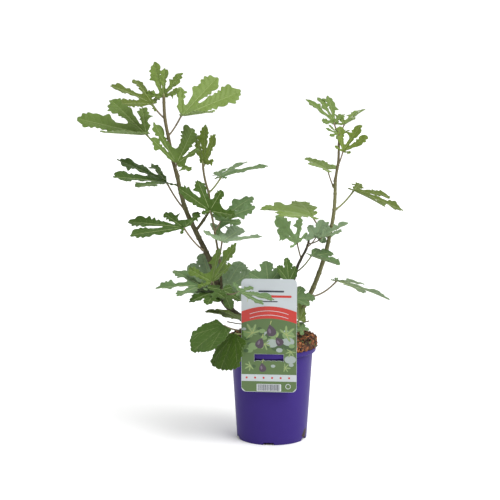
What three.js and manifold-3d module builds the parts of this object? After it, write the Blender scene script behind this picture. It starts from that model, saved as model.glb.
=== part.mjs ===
// Young fig tree in a nursery pot, with a hang-on label hooked over the rim.
// Millimetres, +Z up, front towards -Y. The origin is the centre of the pot's flat underside.
//
// Headings are degrees round Z from +X (90 points away from the front), rises are degrees above level,
// and leans are degrees off the vertical.
import * as THREE from 'three';
import { mergeVertices } from 'three/addons/utils/BufferGeometryUtils.js';
import Module from 'manifold-3d';

const wasm = await Module();
wasm.setup();

// ---- driving dimensions ----
const GAP = 0.3; // clearance between touching pieces
const POT_HEIGHT = 180;
const RIM_RADIUS = 85;
const LIP_HEIGHT = 9;
const NECK_RADIUS = 78.5; // outer wall just under the lip
const FOOT_RADIUS = 67.5;
const WALL = 1.5;
const NOTCH = { count: 5, width: 22, height: 5, depth: 12, first: -96 };

const COMPOST_TOP = 199;
const COMPOST_RADIUS = 86.5; // the root ball stands a little over the rim
const TRUNK_SEAT = 21; // radius of the flat patch that the trunk stands on

const LABEL = { width: 104, height: 215, sheet: 0.8, corner: 9, yaw: -5, x: -7, bottom: 108 };
const SLOT = { width: 55, height: 12, teeth: 5, tooth: 2.2 };
const LABEL_Y = -81.9; // plane of the label, between the lip's two faces

const TRUNK = { x: -6, y: 0, height: 17, flare: 17, waist: 10.5 };

const BLADE = 1.8; // thickness of a leaf
const PETIOLE = 1.7; // radius of a leaf stalk

// Sides of the round pieces.
const SIDES = { pot: 24, stump: 16, limb: 8, stem: 6, petiole: 4 };
const FINEST = 0.02; // edges shorter than this are closed up in the finished solids

// ---- small helpers ----
const radians = (degrees) => (degrees * Math.PI) / 180;

// A repeatable number from 0 to 1 for each seed.
function chance(seed) {
  const wave = Math.sin(seed * 12.9898) * 43758.5453;
  return wave - Math.floor(wave);
}

const jitter = (seed, spread) => (chance(seed) - 0.5) * 2 * spread;

function pointing(heading, rise) {
  const level = Math.cos(radians(rise));
  return new THREE.Vector3(
    level * Math.cos(radians(heading)),
    level * Math.sin(radians(heading)),
    Math.sin(radians(rise)),
  );
}

// Value of an evenly spaced list at t from 0 to 1.
function along(list, t) {
  const place = Math.min(Math.max(t, 0), 1) * (list.length - 1);
  const step = Math.min(Math.floor(place), list.length - 2);
  return list.length === 1 ? list[0] : THREE.MathUtils.lerp(list[step], list[step + 1], place - step);
}

function solidFrom(geometry) {
  const bare = geometry.clone();
  bare.deleteAttribute('normal');
  bare.deleteAttribute('uv');
  const merged = mergeVertices(bare, 1e-4);
  return new wasm.Manifold(
    new wasm.Mesh({
      numProp: 3,
      vertProperties: new Float32Array(merged.attributes.position.array),
      triVerts: new Uint32Array(merged.index.array),
    }),
  );
}

function geometryFrom(solid) {
  const mesh = solid.getMesh();
  const geometry = new THREE.BufferGeometry();
  geometry.setAttribute('position', new THREE.BufferAttribute(mesh.vertProperties, 3));
  geometry.setIndex(new THREE.BufferAttribute(mesh.triVerts, 1));
  return geometry;
}

const join = (solids) => solids.reduce((sum, solid) => sum.add(solid));

// The largest of the separate bodies in a solid: loose scraps are dropped.
function mainBody(solid) {
  return solid.decompose().sort((a, b) => b.volume() - a.volume())[0];
}

// ---- limbs ----
const STEP = 18; // mm between the rings of a limb

// Walks from the foot with a lean and a heading that change evenly along the length.
function limbPath({ from, length, leans, headings }) {
  const steps = Math.max(2, Math.round(length / STEP));
  const path = [from.clone()];
  for (let i = 0; i < steps; i++) {
    const t = (i + 0.5) / steps;
    const direction = pointing(along(headings, t), 90 - along(leans, t));
    path.push(path[i].clone().addScaledVector(direction, length / steps));
  }
  return path;
}

// Point and direction at a distance along a path.
function placeOn(path, distance) {
  let left = distance;
  for (let i = 1; i < path.length; i++) {
    const span = path[i].clone().sub(path[i - 1]);
    const reach = span.length();
    if (left <= reach || i === path.length - 1)
      return {
        point: path[i - 1].clone().addScaledVector(span, left / reach),
        direction: span.normalize(),
      };
    left -= reach;
  }
}

// Point a little past the tip of a path.
function beyond(path, distance) {
  const [before, tip] = path.slice(-2);
  return tip.clone().addScaledVector(tip.clone().sub(before).normalize(), distance);
}

// A tapering cylinder bent so that its axis follows the path.
function bentTaper(path, footRadius, tipRadius, sides) {
  const rings = path.length - 1;
  const geometry = new THREE.CylinderGeometry(tipRadius, footRadius, 1, sides, rings);
  const frames = [];
  let across = new THREE.Vector3(0.3, 1, 0.2);
  path.forEach((point, i) => {
    const before = path[Math.max(i - 1, 0)];
    const after = path[Math.min(i + 1, rings)];
    const forward = after.clone().sub(before).normalize();
    across = across.clone().addScaledVector(forward, -across.dot(forward)).normalize();
    frames.push({ point, across, third: across.clone().cross(forward) });
  });
  const position = geometry.attributes.position;
  for (let i = 0; i < position.count; i++) {
    const frame = frames[Math.round((position.getY(i) + 0.5) * rings)];
    const moved = frame.point
      .clone()
      .addScaledVector(frame.across, position.getX(i))
      .addScaledVector(frame.third, position.getZ(i));
    position.setXYZ(i, moved.x, moved.y, moved.z);
  }
  return geometry;
}

// ---- leaves ----
// lobes: [degrees off the midrib, reach as a share of the leaf's length] from the right-hand side round
// to the left. sinus is how far out the bays between lobes start, waist and swell are half-widths of a
// lobe at its narrowest and widest, and keel is the rise of its margins over its vein. The margin of a
// rounded leaf runs evenly from lobe to lobe.
const KINDS = {
  deep: {
    lobes: [[-108, 0.34], [-50, 0.86], [0, 1], [50, 0.86], [108, 0.34]],
    sinus: 0.38, waist: 0.085, swell: 0.15, keel: 0.2,
  },
  shallow: {
    lobes: [[-105, 0.62], [-50, 0.86], [0, 1], [50, 0.86], [105, 0.62]],
    sinus: 0.7, waist: 0.25, swell: 0.2, keel: 0.16,
  },
  young: {
    lobes: [[-80, 0.55], [-40, 0.9], [0, 1], [40, 0.9], [80, 0.55]],
    sinus: 0.3, waist: 0.075, swell: 0.15, keel: 0.2,
  },
  broad: {
    lobes: [[-108, 0.34], [-50, 0.86], [0, 1], [50, 0.86], [108, 0.34]],
    sinus: 0.5, waist: 0.13, swell: 0.17, keel: 0.18,
  },
  oval: {
    lobes: [[-75, 0.32], [-34, 0.8], [0, 1], [34, 0.8], [75, 0.32]],
    sinus: 1, keel: 0.05, rounded: true,
  },
};
// Stations along a lobe: [place from the bay to the tip, which half-width, share of it]. Short lobes do
// with fewer of them.
const LONG_LOBE = { over: 84, stations: [[0.3, 'waist', 1], [0.72, 'swell', 1], [0.93, 'swell', 0.62]] };
const MIDDLE_LOBE = { over: 46, stations: [[0.3, 'waist', 1], [0.82, 'swell', 1]] };
const SHORT_LOBE = { over: 0, stations: [[0.6, 'swell', 0.85]] };
const ROUND_LOBE = { stations: [[0.34], [0.67]] };
const FOLD = 0.12; // rise of the two halves of a leaf, as in an open book
const DROOP = 0.12; // fall of the tips
const OUTER_BAY = 26; // degrees from the first and last lobes to the bays outside them

// A point of a lobe's margin as [forward, aside], at a share of the way from a bay to the lobe's tip.
function marginAt(kind, { angle, reach }, bay, share, half) {
  const turn = radians(Math.abs(bay.angle - angle));
  if (!kind.rounded) return [THREE.MathUtils.lerp(bay.radius * Math.cos(turn), reach, share), half];
  const radius = THREE.MathUtils.lerp(bay.radius, reach, THREE.MathUtils.smoothstep(share, 0, 1));
  return [radius * Math.cos(turn * (1 - share)), radius * Math.sin(turn * (1 - share))];
}

// The blade as a thin closed sheet: each lobe is a strip along its vein, and neighbouring lobes share
// the straight line from the stalk to the bay between them.
function bladeGeometry(leaf) {
  const kind = KINDS[leaf.kind];
  const lobes = (leaf.lobes ?? kind.lobes).map(([angle, reach], i) => ({
    angle: angle + jitter(leaf.seed + i * 1.7, 2),
    reach: reach * (1 + jitter(leaf.seed + i * 2.9 + 0.4, 0.03)),
  }));
  const first = lobes[0];
  const last = lobes[lobes.length - 1];
  const bays = [{ angle: first.angle - OUTER_BAY, radius: first.reach * kind.sinus * 0.9 }];
  for (let i = 1; i < lobes.length; i++) {
    const reaches = [lobes[i - 1].reach, lobes[i].reach];
    const between = kind.rounded ? (reaches[0] + reaches[1]) / 2 : Math.min(...reaches);
    bays.push({ angle: (lobes[i - 1].angle + lobes[i].angle) / 2, radius: between * kind.sinus });
  }
  bays.push({ angle: last.angle + OUTER_BAY, radius: last.reach * kind.sinus * 0.9 });

  const spots = [[0, 0, 0]]; // along the midrib, to its left, margin height: shares of the length
  const rim = [0];
  const faces = [];
  const spot = (x, y, margin) => spots.push([x, y, margin]) - 1;
  const bayAt = bays.map(({ angle, radius }) => {
    const a = radians(angle);
    return spot(radius * Math.cos(a), radius * Math.sin(a), radius * 0.4);
  });
  lobes.forEach((lobe, i) => {
    const { angle, reach } = lobe;
    const c = Math.cos(radians(angle));
    const s = Math.sin(radians(angle));
    const onLobe = (forward, left, margin) => spot(forward * c - left * s, forward * s + left * c, margin);
    const start = [bayAt[i], bayAt[i + 1]].map((k) => spots[k][0] * c + spots[k][1] * s);
    const tip = onLobe(reach, 0, 0);
    const right = [bayAt[i]];
    const left = [bayAt[i + 1]];
    const vein = [onLobe((start[0] + start[1]) / 2, 0, 0)];
    const { stations } = kind.rounded
      ? ROUND_LOBE
      : [LONG_LOBE, MIDDLE_LOBE, SHORT_LOBE].find(({ over }) => reach * leaf.size > over);
    for (const [share, width, scale] of stations) {
      const half = kind[width] * scale * reach;
      const [forwardRight, asideRight] = marginAt(kind, lobe, bays[i], share, half);
      const [forwardLeft, asideLeft] = marginAt(kind, lobe, bays[i + 1], share, half);
      right.push(onLobe(forwardRight, -asideRight, asideRight));
      left.push(onLobe(forwardLeft, asideLeft, asideLeft));
      vein.push(onLobe(THREE.MathUtils.lerp((start[0] + start[1]) / 2, reach, share), 0, 0));
    }
    faces.push([0, right[0], vein[0]], [0, vein[0], left[0]]);
    for (let k = 1; k < vein.length; k++)
      faces.push(
        [right[k - 1], right[k], vein[k]],
        [right[k - 1], vein[k], vein[k - 1]],
        [vein[k - 1], vein[k], left[k]],
        [vein[k - 1], left[k], left[k - 1]],
      );
    const end = vein.length - 1;
    faces.push([right[end], tip, vein[end]], [vein[end], tip, left[end]]);
    rim.push(...right, tip, ...left.slice(1).reverse());
  });
  rim.push(bayAt[lobes.length]);

  const size = leaf.size;
  const forward = pointing(leaf.heading, leaf.rise);
  const level = pointing(leaf.heading + 90, 0);
  const upright = forward.clone().cross(level);
  const roll = radians(leaf.roll);
  const sideways = level.clone().multiplyScalar(Math.cos(roll)).addScaledVector(upright, Math.sin(roll));
  const normal = forward.clone().cross(sideways);
  const count = spots.length;
  const corners = [];
  for (const lift of [BLADE / 2, -BLADE / 2])
    for (const [x, y, margin] of spots) {
      const height = leaf.fold * Math.abs(y) - leaf.droop * (x * x + y * y) + kind.keel * margin;
      const corner = leaf.joint
        .clone()
        .addScaledVector(forward, x * size)
        .addScaledVector(sideways, y * size)
        .addScaledVector(normal, height * size + lift);
      corners.push(corner.x, corner.y, corner.z);
    }
  const index = [];
  for (const [a, b, c] of faces) index.push(a, b, c, a + count, c + count, b + count);
  rim.forEach((a, i) => {
    const b = rim[(i + 1) % rim.length];
    index.push(a, a + count, b + count, a, b + count, b);
  });
  const geometry = new THREE.BufferGeometry();
  geometry.setAttribute('position', new THREE.Float32BufferAttribute(corners, 3));
  geometry.setIndex(index);
  return geometry;
}

// A leaf stalk: a slender tube that bows a little on its way, sunk into the stem and the blade.
function petioleGeometry(foot, joint, bow) {
  const middle = foot.clone().lerp(joint, 0.5);
  middle.z -= bow;
  const curve = new THREE.QuadraticBezierCurve3(foot, middle, joint);
  const bends = foot.distanceTo(joint) > 40 ? 3 : 2;
  return bentTaper(curve.getPoints(bends), PETIOLE * 1.15, PETIOLE, SIDES.petiole);
}

// One leaf on a stem. at: distance along the stem. stalk: [length, heading, rise].
// blade: [length, heading, rise, roll].
let leafCount = 0;
function leafSpec(kind, at, stalk, blade, shape = {}) {
  leafCount += 1;
  const [size, heading, rise, roll] = blade;
  return {
    kind, at, stalk, size, heading, rise, roll,
    fold: FOLD, droop: DROOP, bow: 0.12 * stalk[0], seed: leafCount * 3.7, ...shape,
  };
}

// A fan of like leaves round a stem, by a seeded rule: headings go from one limit to the other and back
// while the leaves climb from one distance to the other.
function fanOfLeaves(count, kind, low, high, [least, most]) {
  return Array.from({ length: count }, (_, i) => {
    const heading = least + ((most - least) * ((i * 2.6) % count)) / (count - 1) + jitter(i + 0.7, 6);
    const stalk = [34 + jitter(i + 0.2, 8), heading, 26 + jitter(i + 0.5, 10)];
    const size = 46 + jitter(i + 0.9, 6);
    const blade = [size, heading + jitter(i + 1.3, 15), 8 + jitter(i + 1.6, 16), jitter(i, 12)];
    return leafSpec(kind, low + ((high - low) * i) / (count - 1), stalk, blade);
  });
}

function leafSolid(leaf, path) {
  const [length, heading, rise] = leaf.stalk;
  const foot = placeOn(path, leaf.at).point;
  leaf.joint = foot.clone().addScaledVector(pointing(heading, rise), length);
  const blade = solidFrom(bladeGeometry(leaf));
  return blade.add(solidFrom(petioleGeometry(foot, leaf.joint, leaf.bow)));
}

// ---- the plant's limbs: each starts from a place on the one that carries it ----
const LIMBS = {
  bough_left: {
    on: 'trunk', at: [-18, 1, 214], length: 352, radius: [6.6, 3.9],
    leans: [66, 62, 36, 10, 24, 27, 25, 14, 10], headings: [178, 172, 176, 180],
  },
  bough_right: {
    on: 'trunk', at: [7, -2, 214], length: 322, radius: [5.4, 3],
    leans: [62, 52, 28, 21, 18, 12, 10, 2, 0], headings: [2, -3, 4, 0],
  },
  bough_middle: {
    on: 'trunk', at: [-2, 4, 221], length: 106, radius: [4.4, 3.5],
    leans: [40, 30, 20, 16], headings: [10, -2],
  },
  bough_low: {
    on: 'bough_left', at: 84, length: 40, radius: [3.4, 2.5],
    leans: [52, 40], headings: [-140, -130],
  },
  bough_centre: {
    on: 'bough_left', at: 100, length: 70, radius: [3, 2.4],
    leans: [6, 5], headings: [-120],
  },
  bough_inner: {
    on: 'bough_left', at: 239, length: 47, radius: [2.7, 2.5],
    leans: [42, 36, 32], headings: [12, 24],
  },
};

// ---- foliage: a stem that grows on from a limb's tip or side, with its leaves ----
const FOLIAGE = {
  foliage_left_top: {
    on: 'bough_left', length: 150, radius: [3.7, 2.9], leans: [18, 14, 9, 12, 9, 3, 0], headings: [176],
    leaves: [
      leafSpec('deep', 12, [24, -78, 31], [103, 68, 29, 24], {
        fold: 0.55, droop: 0, lobes: [[-126, 0.42], [-25, 0.56], [6, 1.07], [60, 0.79], [87, 0.6]],
      }),
      leafSpec('deep', 36, [70, 153, 36], [149, -177, 0, -16], {
        fold: 0.4, droop: 0, lobes: [[-83, 0.49], [-54, 0.83], [-20, 0.96], [55, 0.87], [83, 0.49]],
      }),
      leafSpec('deep', 76, [49, 38, 51], [129, 9, 2, 23], {
        fold: 0.55, droop: 0, lobes: [[-83, 0.47], [-65, 0.85], [19, 1], [46, 0.86], [83, 0.47]],
      }),
      leafSpec('deep', 109, [37, 169, 48], [89, -169, 29, -27], {
        lobes: [[-100, 0.45], [-52, 0.87], [0, 0.96], [45, 0.9], [108, 0.3]],
      }),
      leafSpec('young', 143, [11, 100, 39], [71, 59, 80, 0], {
        fold: 0.2, lobes: [[-70, 0.58], [-41, 0.85], [6, 0.79], [25, 1.04], [80, 0.55]],
      }),
    ],
  },
  foliage_left_outer: {
    on: 'bough_left', at: 278, length: 10, radius: [1.7, 1.5], leans: [40], headings: [160],
    leaves: [
      leafSpec('deep', 6, [65, 151, 51], [128, -142, 7, -19], {
        fold: 0.25, droop: 0.06, lobes: [[-90, 0.51], [-44, 0.82], [-8, 0.9], [30, 0.92], [100, 0.25]],
      }),
    ],
  },
  foliage_left_low: {
    on: 'bough_left', at: 196, length: 10, radius: [1.7, 1.5], leans: [70], headings: [215],
    leaves: [
      leafSpec('deep', 6, [66, -138, 45], [102, 172, 12, -41], {
        fold: 0.33, droop: 0.06, lobes: [[-121, 0.42], [-25, 0.49], [7, 1.05], [32, 1.03], [90, 0.2]],
      }),
    ],
  },
  foliage_inner: {
    on: 'bough_inner', length: 90, radius: [2.4, 2.1], leans: [4, -4, -16, -10, -4], headings: [0],
    leaves: [
      leafSpec('deep', 34, [39, 21, 49], [99, 54, 21, -9], {
        fold: 0, lobes: [[-108, 0.2], [-51, 0.91], [7, 0.97], [44, 0.7], [100, 0.15]],
      }),
      leafSpec('broad', 84, [9, 59, 47], [65, 63, 80, -23], {
        fold: 0, droop: 0, lobes: [[-76, 0.4], [-24, 0.97], [6, 1.17], [37, 0.87], [64, 0.3]],
      }),
    ],
  },
  foliage_centre: {
    on: 'bough_centre', length: 92, radius: [2.3, 1.9], leans: [9, 10, 9, 11], headings: [182],
    leaves: [
      leafSpec('broad', 8, [37, -70, 64], [86, 58, 7, 13], {
        fold: 0.3, droop: 0, lobes: [[-108, 0.2], [-49, 0.86], [7, 1.06], [52, 0.75], [98, 0.48]],
      }),
      leafSpec('broad', 60, [24, 48, 46], [73, -8, 26, 50], {
        fold: 0, droop: 0.24, lobes: [[-119, 0.42], [-28, 0.57], [5, 0.99], [28, 1.09], [108, 0.4]],
      }),
      leafSpec('broad', 88, [16, -114, 54], [80, 130, 68, -17], {
        fold: 0.32, droop: 0.06, lobes: [[-114, 0.59], [-41, 0.55], [8, 0.78], [48, 0.92], [100, 0.25]],
      }),
    ],
  },
  foliage_low_left: {
    on: 'bough_low', length: 16, radius: [2.4, 1.9], leans: [30, 10], headings: [-133],
    leaves: [
      leafSpec('deep', 2, [40, -134, 21], [85, -171, 4, -15], { fold: 0.2 }),
      leafSpec('deep', 10, [42, -94, 24], [91, 100, 43, -36], {
        fold: 0.34, droop: 0.04, lobes: [[-83, 0.58], [-59, 0.93], [-21, 0.75], [41, 0.63], [100, 0.3]],
      }),
      leafSpec('deep', 4, [104, -63, 7], [59, 7, -10, 26], {
        fold: 0.2, droop: 0.06, lobes: [[-108, 0.3], [-40, 0.95], [-2, 1.14], [35, 0.55], [113, 0.43]],
      }),
      leafSpec('shallow', 2, [45, -87, 8], [52, -164, -12, -14], { fold: 0 }),
      leafSpec('shallow', 4, [39, -68, 10], [47, -58, -37, -6], { fold: 0.04 }),
    ],
  },
  foliage_low_back: {
    on: 'bough_left', at: 93, length: 27, radius: [2.3, 1.8], leans: [58, 22], headings: [103],
    leaves: [
      leafSpec('shallow', 16, [31, 165, 40], [65, 121, 68, -32], {
        fold: 0.06, lobes: [[-105, 0.62], [-34, 0.88], [5, 0.97], [38, 0.87], [103, 0.62]],
      }),
      leafSpec('shallow', 20, [13, 56, 24], [61, 43, 58, 26], {
        fold: 0, droop: 0.2, lobes: [[-99, 0.6], [-33, 0.97], [-2, 1.02], [25, 0.76], [105, 0.62]],
      }),
    ],
  },
  foliage_behind_label: {
    on: 'bough_middle', at: 30, length: 36, radius: [2, 1.6], leans: [40, 10], headings: [-150, -120],
    leaves: [
      leafSpec('shallow', 24, [52, -114, 46], [49, 114, 68, -4], {
        lobes: [[-105, 0.62], [-46, 0.85], [-5, 1], [52, 0.87], [105, 0.62]],
      }),
      leafSpec('shallow', 28, [54, -49, 46], [47, 126, 80, 14], {
        fold: 0.09, droop: 0.08, lobes: [[-105, 0.5], [-48, 0.79], [-4, 1.01], [42, 0.91], [105, 0.5]],
      }),
    ],
  },
  foliage_base_left: {
    on: 'trunk', at: [-13, -4, 207], length: 48, radius: [2.4, 1.8], leans: [76, 66], headings: [-136],
    leaves: [
      leafSpec('shallow', 36, [34, -149, 36], [61, -173, 21, -1], {
        lobes: [[-105, 0.62], [-41, 0.94], [-1, 1.07], [38, 0.74], [109, 0.57]],
      }),
      leafSpec('oval', 32, [92, -128, 13], [84, -150, -28, -19], {
        droop: 0.08, lobes: [[-66, 0.3], [-28, 0.75], [2, 0.93], [27, 0.79], [66, 0.27]],
      }),
      leafSpec('oval', 36, [79, -114, 4], [95, -140, -62, -8], {
        fold: 0, droop: 0.13, lobes: [[-50, 0.33], [-29, 0.75], [-5, 0.72], [28, 0.67], [48, 0.37]],
      }),
    ],
  },
  foliage_base_right: {
    on: 'trunk', at: [3, -6, 209], length: 40, radius: [2, 1.6], leans: [72, 40], headings: [-45],
    leaves: [
      leafSpec('shallow', 30, [63, -48, 61], [41, 12, 3, 31], { fold: 0.24 }),
      leafSpec('shallow', 24, [44, -20, -5], [26, 157, 36, -17], { fold: 0.04 }),
      leafSpec('shallow', 28, [38, -29, 21], [39, 161, 80, -3], {
        fold: 0.17, droop: 0, lobes: [[-91, 0.61], [-56, 0.84], [-9, 1.03], [50, 0.86], [105, 0.62]],
      }),
    ],
  },
  foliage_back: {
    on: 'trunk', at: [-5, 6, 209], length: 46, radius: [2.4, 1.6], leans: [58, 24], headings: [92],
    leaves: fanOfLeaves(4, 'shallow', 14, 42, [50, 130]),
  },
  foliage_right_low: {
    on: 'bough_right', at: 89, length: 10, radius: [1.6, 1.4], leans: [80], headings: [10],
    leaves: [
      leafSpec('deep', 6, [57, 8, 31], [113, 3, -15, -15], {
        bow: 12, fold: 0.1, droop: 0.1,
        lobes: [[-108, 0.2], [-46, 0.56], [1, 0.94], [47, 0.84], [108, 0.2]],
      }),
    ],
  },
  foliage_right_reach: {
    on: 'bough_right', at: 208, length: 10, radius: [1.6, 1.4], leans: [36], headings: [160],
    leaves: [
      leafSpec('shallow', 6, [48, 159, 51], [97, 173, 13, -7], {
        fold: 0.16, lobes: [[-86, 0.3], [-64, 0.84], [1, 1.05], [48, 0.84], [102, 0.3]],
      }),
    ],
  },
  foliage_middle: {
    on: 'bough_middle', length: 74, radius: [3.2, 2.1], leans: [14, 18, 34, 20, 12], headings: [0],
    leaves: [
      leafSpec('shallow', 6, [64, -58, 36], [54, -20, -16, -1], {
        fold: 0.37, droop: 0, lobes: [[-105, 0.3], [-38, 0.93], [4, 1.04], [49, 0.82], [87, 0.56]],
      }),
      leafSpec('deep', 34, [31, 133, 69], [64, 122, 45, -50], {
        fold: 0.3, droop: 0, lobes: [[-87, 0.44], [-38, 0.79], [10, 1.16], [25, 0.8], [100, 0.25]],
      }),
      leafSpec('shallow', 58, [36, -52, 40], [35, 43, 72, 31], {
        fold: 0.2, droop: 0.06, lobes: [[-105, 0.62], [-49, 0.93], [-8, 1], [46, 0.77], [105, 0.62]],
      }),
      leafSpec('deep', 66, [45, -54, 20], [53, 2, 37, 25], {
        fold: 0.35, lobes: [[-108, 0.34], [-39, 0.92], [-3, 1.08], [41, 0.69], [108, 0.34]],
      }),
    ],
  },
  foliage_right_inner: {
    on: 'bough_right', at: 304, length: 10, radius: [1.5, 1.3], leans: [40], headings: [150],
    leaves: [
      leafSpec('shallow', 6, [36, 133, 64], [52, 159, 20, -4], {
        droop: 0, lobes: [[-100, 0.65], [-46, 0.78], [-8, 1.04], [50, 0.86], [105, 0.62]],
      }),
    ],
  },
  foliage_right_outer: {
    on: 'bough_right', at: 262, length: 10, radius: [1.6, 1.4], leans: [50], headings: [28],
    leaves: [
      leafSpec('deep', 6, [54, 34, 38], [104, -19, -21, 0], {
        fold: 0.2, droop: 0.06, lobes: [[-108, 0.2], [-38, 0.92], [13, 0.96], [43, 0.78], [93, 0.48]],
      }),
    ],
  },
  foliage_right_top: {
    on: 'bough_right', length: 88, radius: [2.8, 2.1], leans: [8, 10, 2, 0, 2], headings: [0],
    leaves: [
      leafSpec('young', 24, [32, -24, 70], [58, 22, 63, 50], {
        fold: 0.45, droop: 0, lobes: [[-80, 0.3], [-40, 0.96], [-9, 1.01], [31, 0.81], [80, 0.3]],
      }),
      leafSpec('young', 84, [28, 129, 58], [73, 151, 56, -6], {
        lobes: [[-72, 0.55], [-35, 0.95], [-7, 0.81], [34, 1], [80, 0.55]],
      }),
      leafSpec('young', 86, [24, 48, 50], [55, 53, 33, -15], { fold: 0.24 }),
      leafSpec('young', 70, [19, -124, 66], [26, -148, 29, -48], { fold: 0 }),
      leafSpec('young', 70, [19, 44, 65], [17, 9, 29, 14]),
    ],
  },
};

// ---- trunk ----
// A flared stump. grow makes it that much bigger all over, to cut clearances with.
function stumpSolid(grow) {
  const { x, y, height, flare, waist } = TRUNK;
  const profile = [
    [0, 0],
    [flare + grow, 0],
    [flare * 0.8 + grow, 3],
    [waist * 1.05 + grow, 9],
    [waist * 0.9 + grow, height],
    [waist * 0.4 + grow, height + 4 + grow],
    [0, height + 5 + grow],
  ];
  const stump = new THREE.LatheGeometry(profile.map(([r, z]) => new THREE.Vector2(r, z)), SIDES.stump);
  stump.rotateX(Math.PI / 2);
  stump.translate(x, y, COMPOST_TOP + GAP);
  return solidFrom(stump);
}

// A short tapering socket from inside the stump to where a bough starts.
function socketSolid({ start, radius, direction }, grow) {
  const end = start.clone().addScaledVector(direction, grow);
  const inside = start.clone().addScaledVector(direction, -14);
  const path = [inside, inside.clone().lerp(end, 0.5), end];
  return solidFrom(bentTaper(path, radius * 1.1 + grow, radius + grow, SIDES.limb));
}

function trunkSolid(sockets, grow = 0) {
  return join([stumpSolid(grow), ...sockets.map((socket) => socketSolid(socket, grow))]);
}

// ---- pot, compost and label ----
function potSolid() {
  const neckHeight = POT_HEIGHT - LIP_HEIGHT;
  const inner = RIM_RADIUS - 2.6;
  const profile = [
    [0, 0],
    [FOOT_RADIUS, 0],
    [NECK_RADIUS, neckHeight - 1],
    [RIM_RADIUS - 0.6, neckHeight],
    [RIM_RADIUS, POT_HEIGHT],
    [inner, POT_HEIGHT],
    [inner - 0.6, neckHeight + 2],
    [NECK_RADIUS - WALL, neckHeight - 3],
    [FOOT_RADIUS - WALL, 2],
    [0, 2],
  ];
  const shell = new THREE.LatheGeometry(profile.map(([r, z]) => new THREE.Vector2(r, z)), SIDES.pot);
  shell.rotateX(Math.PI / 2);
  let pot = solidFrom(shell);
  for (let i = 0; i < NOTCH.count; i++) {
    const outline = new THREE.Shape();
    outline.moveTo(-NOTCH.width / 2, -1);
    outline.lineTo(NOTCH.width / 2, -1);
    outline.lineTo(NOTCH.width / 2 - 2, NOTCH.height);
    outline.lineTo(-NOTCH.width / 2 + 2, NOTCH.height);
    const cutter = new THREE.ExtrudeGeometry(outline, { depth: NOTCH.depth, bevelEnabled: false });
    cutter.rotateX(Math.PI / 2);
    cutter.translate(0, -FOOT_RADIUS + NOTCH.depth - 2, 0);
    cutter.rotateZ(radians(NOTCH.first + 90 + (i * 360) / NOTCH.count));
    pot = pot.subtract(solidFrom(cutter));
  }
  return pot;
}

function compostSolid() {
  const neckHeight = POT_HEIGHT - LIP_HEIGHT;
  const wall = WALL + GAP;
  const profile = [
    [0, NOTCH.height + GAP],
    [FOOT_RADIUS - wall - 1, NOTCH.height + GAP],
    [NECK_RADIUS - wall, neckHeight - 3],
    [RIM_RADIUS - 3.2 - GAP, neckHeight + 2],
    [RIM_RADIUS - 2.8 - GAP, POT_HEIGHT + GAP],
    [COMPOST_RADIUS - 1.5, POT_HEIGHT + 1.5],
    [COMPOST_RADIUS, POT_HEIGHT + 8],
    [COMPOST_RADIUS - 2.5, COMPOST_TOP - 3],
    [COMPOST_RADIUS - 9, COMPOST_TOP - 0.5],
    [TRUNK_SEAT, COMPOST_TOP],
    [0, COMPOST_TOP],
  ];
  const ball = new THREE.LatheGeometry(profile.map(([r, z]) => new THREE.Vector2(r, z)), SIDES.pot);
  ball.rotateX(Math.PI / 2);
  const pressed = new THREE.BoxGeometry(LABEL.width + 6, 40, 60);
  pressed.translate(0, -20 + LABEL.sheet / 2 + GAP + 0.4, 0);
  pressed.rotateZ(radians(LABEL.yaw));
  pressed.translate(LABEL.x, LABEL_Y, POT_HEIGHT + 30.2);
  return solidFrom(ball).subtract(solidFrom(pressed));
}

function labelSolid() {
  const { width, height, sheet, corner } = LABEL;
  const card = new THREE.Shape();
  card.moveTo(-width / 2 + corner, 0);
  card.lineTo(width / 2 - corner, 0);
  card.absarc(width / 2 - corner, corner, corner, -Math.PI / 2, 0, false);
  card.absarc(width / 2 - corner, height - corner, corner, 0, Math.PI / 2, false);
  card.absarc(-width / 2 + corner, height - corner, corner, Math.PI / 2, Math.PI, false);
  card.absarc(-width / 2 + corner, corner, corner, Math.PI, Math.PI * 1.5, false);
  const top = POT_HEIGHT + GAP - LABEL.bottom;
  const floor = top - SLOT.height;
  const slot = new THREE.Path();
  slot.moveTo(-SLOT.width / 2, floor - SLOT.tooth);
  for (let i = 0; i < SLOT.teeth; i++) {
    const from = -SLOT.width / 2 + 3 + ((SLOT.width - 6) * i) / SLOT.teeth;
    const pitch = (SLOT.width - 6) / SLOT.teeth;
    slot.lineTo(from + pitch * 0.15, floor);
    slot.lineTo(from + pitch * 0.7, floor);
    slot.lineTo(from + pitch * 0.85, floor - SLOT.tooth * 0.5);
  }
  slot.lineTo(SLOT.width / 2 - 3, floor);
  slot.lineTo(SLOT.width / 2, floor - SLOT.tooth);
  slot.lineTo(SLOT.width / 2, top);
  slot.lineTo(-SLOT.width / 2, top);
  card.holes.push(slot);
  const plate = new THREE.ExtrudeGeometry(card, { depth: sheet, bevelEnabled: false, curveSegments: 4 });
  plate.translate(0, 0, -sheet / 2);
  plate.rotateX(Math.PI / 2);
  plate.rotateZ(radians(LABEL.yaw));
  plate.translate(LABEL.x, LABEL_Y, LABEL.bottom);
  return solidFrom(plate);
}

// ---- assembly ----
const paths = {};
const sockets = [];
for (const [name, spec] of Object.entries(LIMBS)) {
  let path = limbPath({ ...spec, from: startOf(spec) });
  if (spec.on === 'trunk') {
    const start = path[0];
    const direction = path[1].clone().sub(start).normalize();
    sockets.push({ start, radius: spec.radius[0], direction });
    path = [start.clone().addScaledVector(direction, GAP), ...path.slice(1)];
  }
  paths[name] = path;
}

function startOf({ on, at }) {
  if (Array.isArray(at)) return new THREE.Vector3(...at);
  return at === undefined ? beyond(paths[on], GAP) : placeOn(paths[on], at).point;
}

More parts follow.
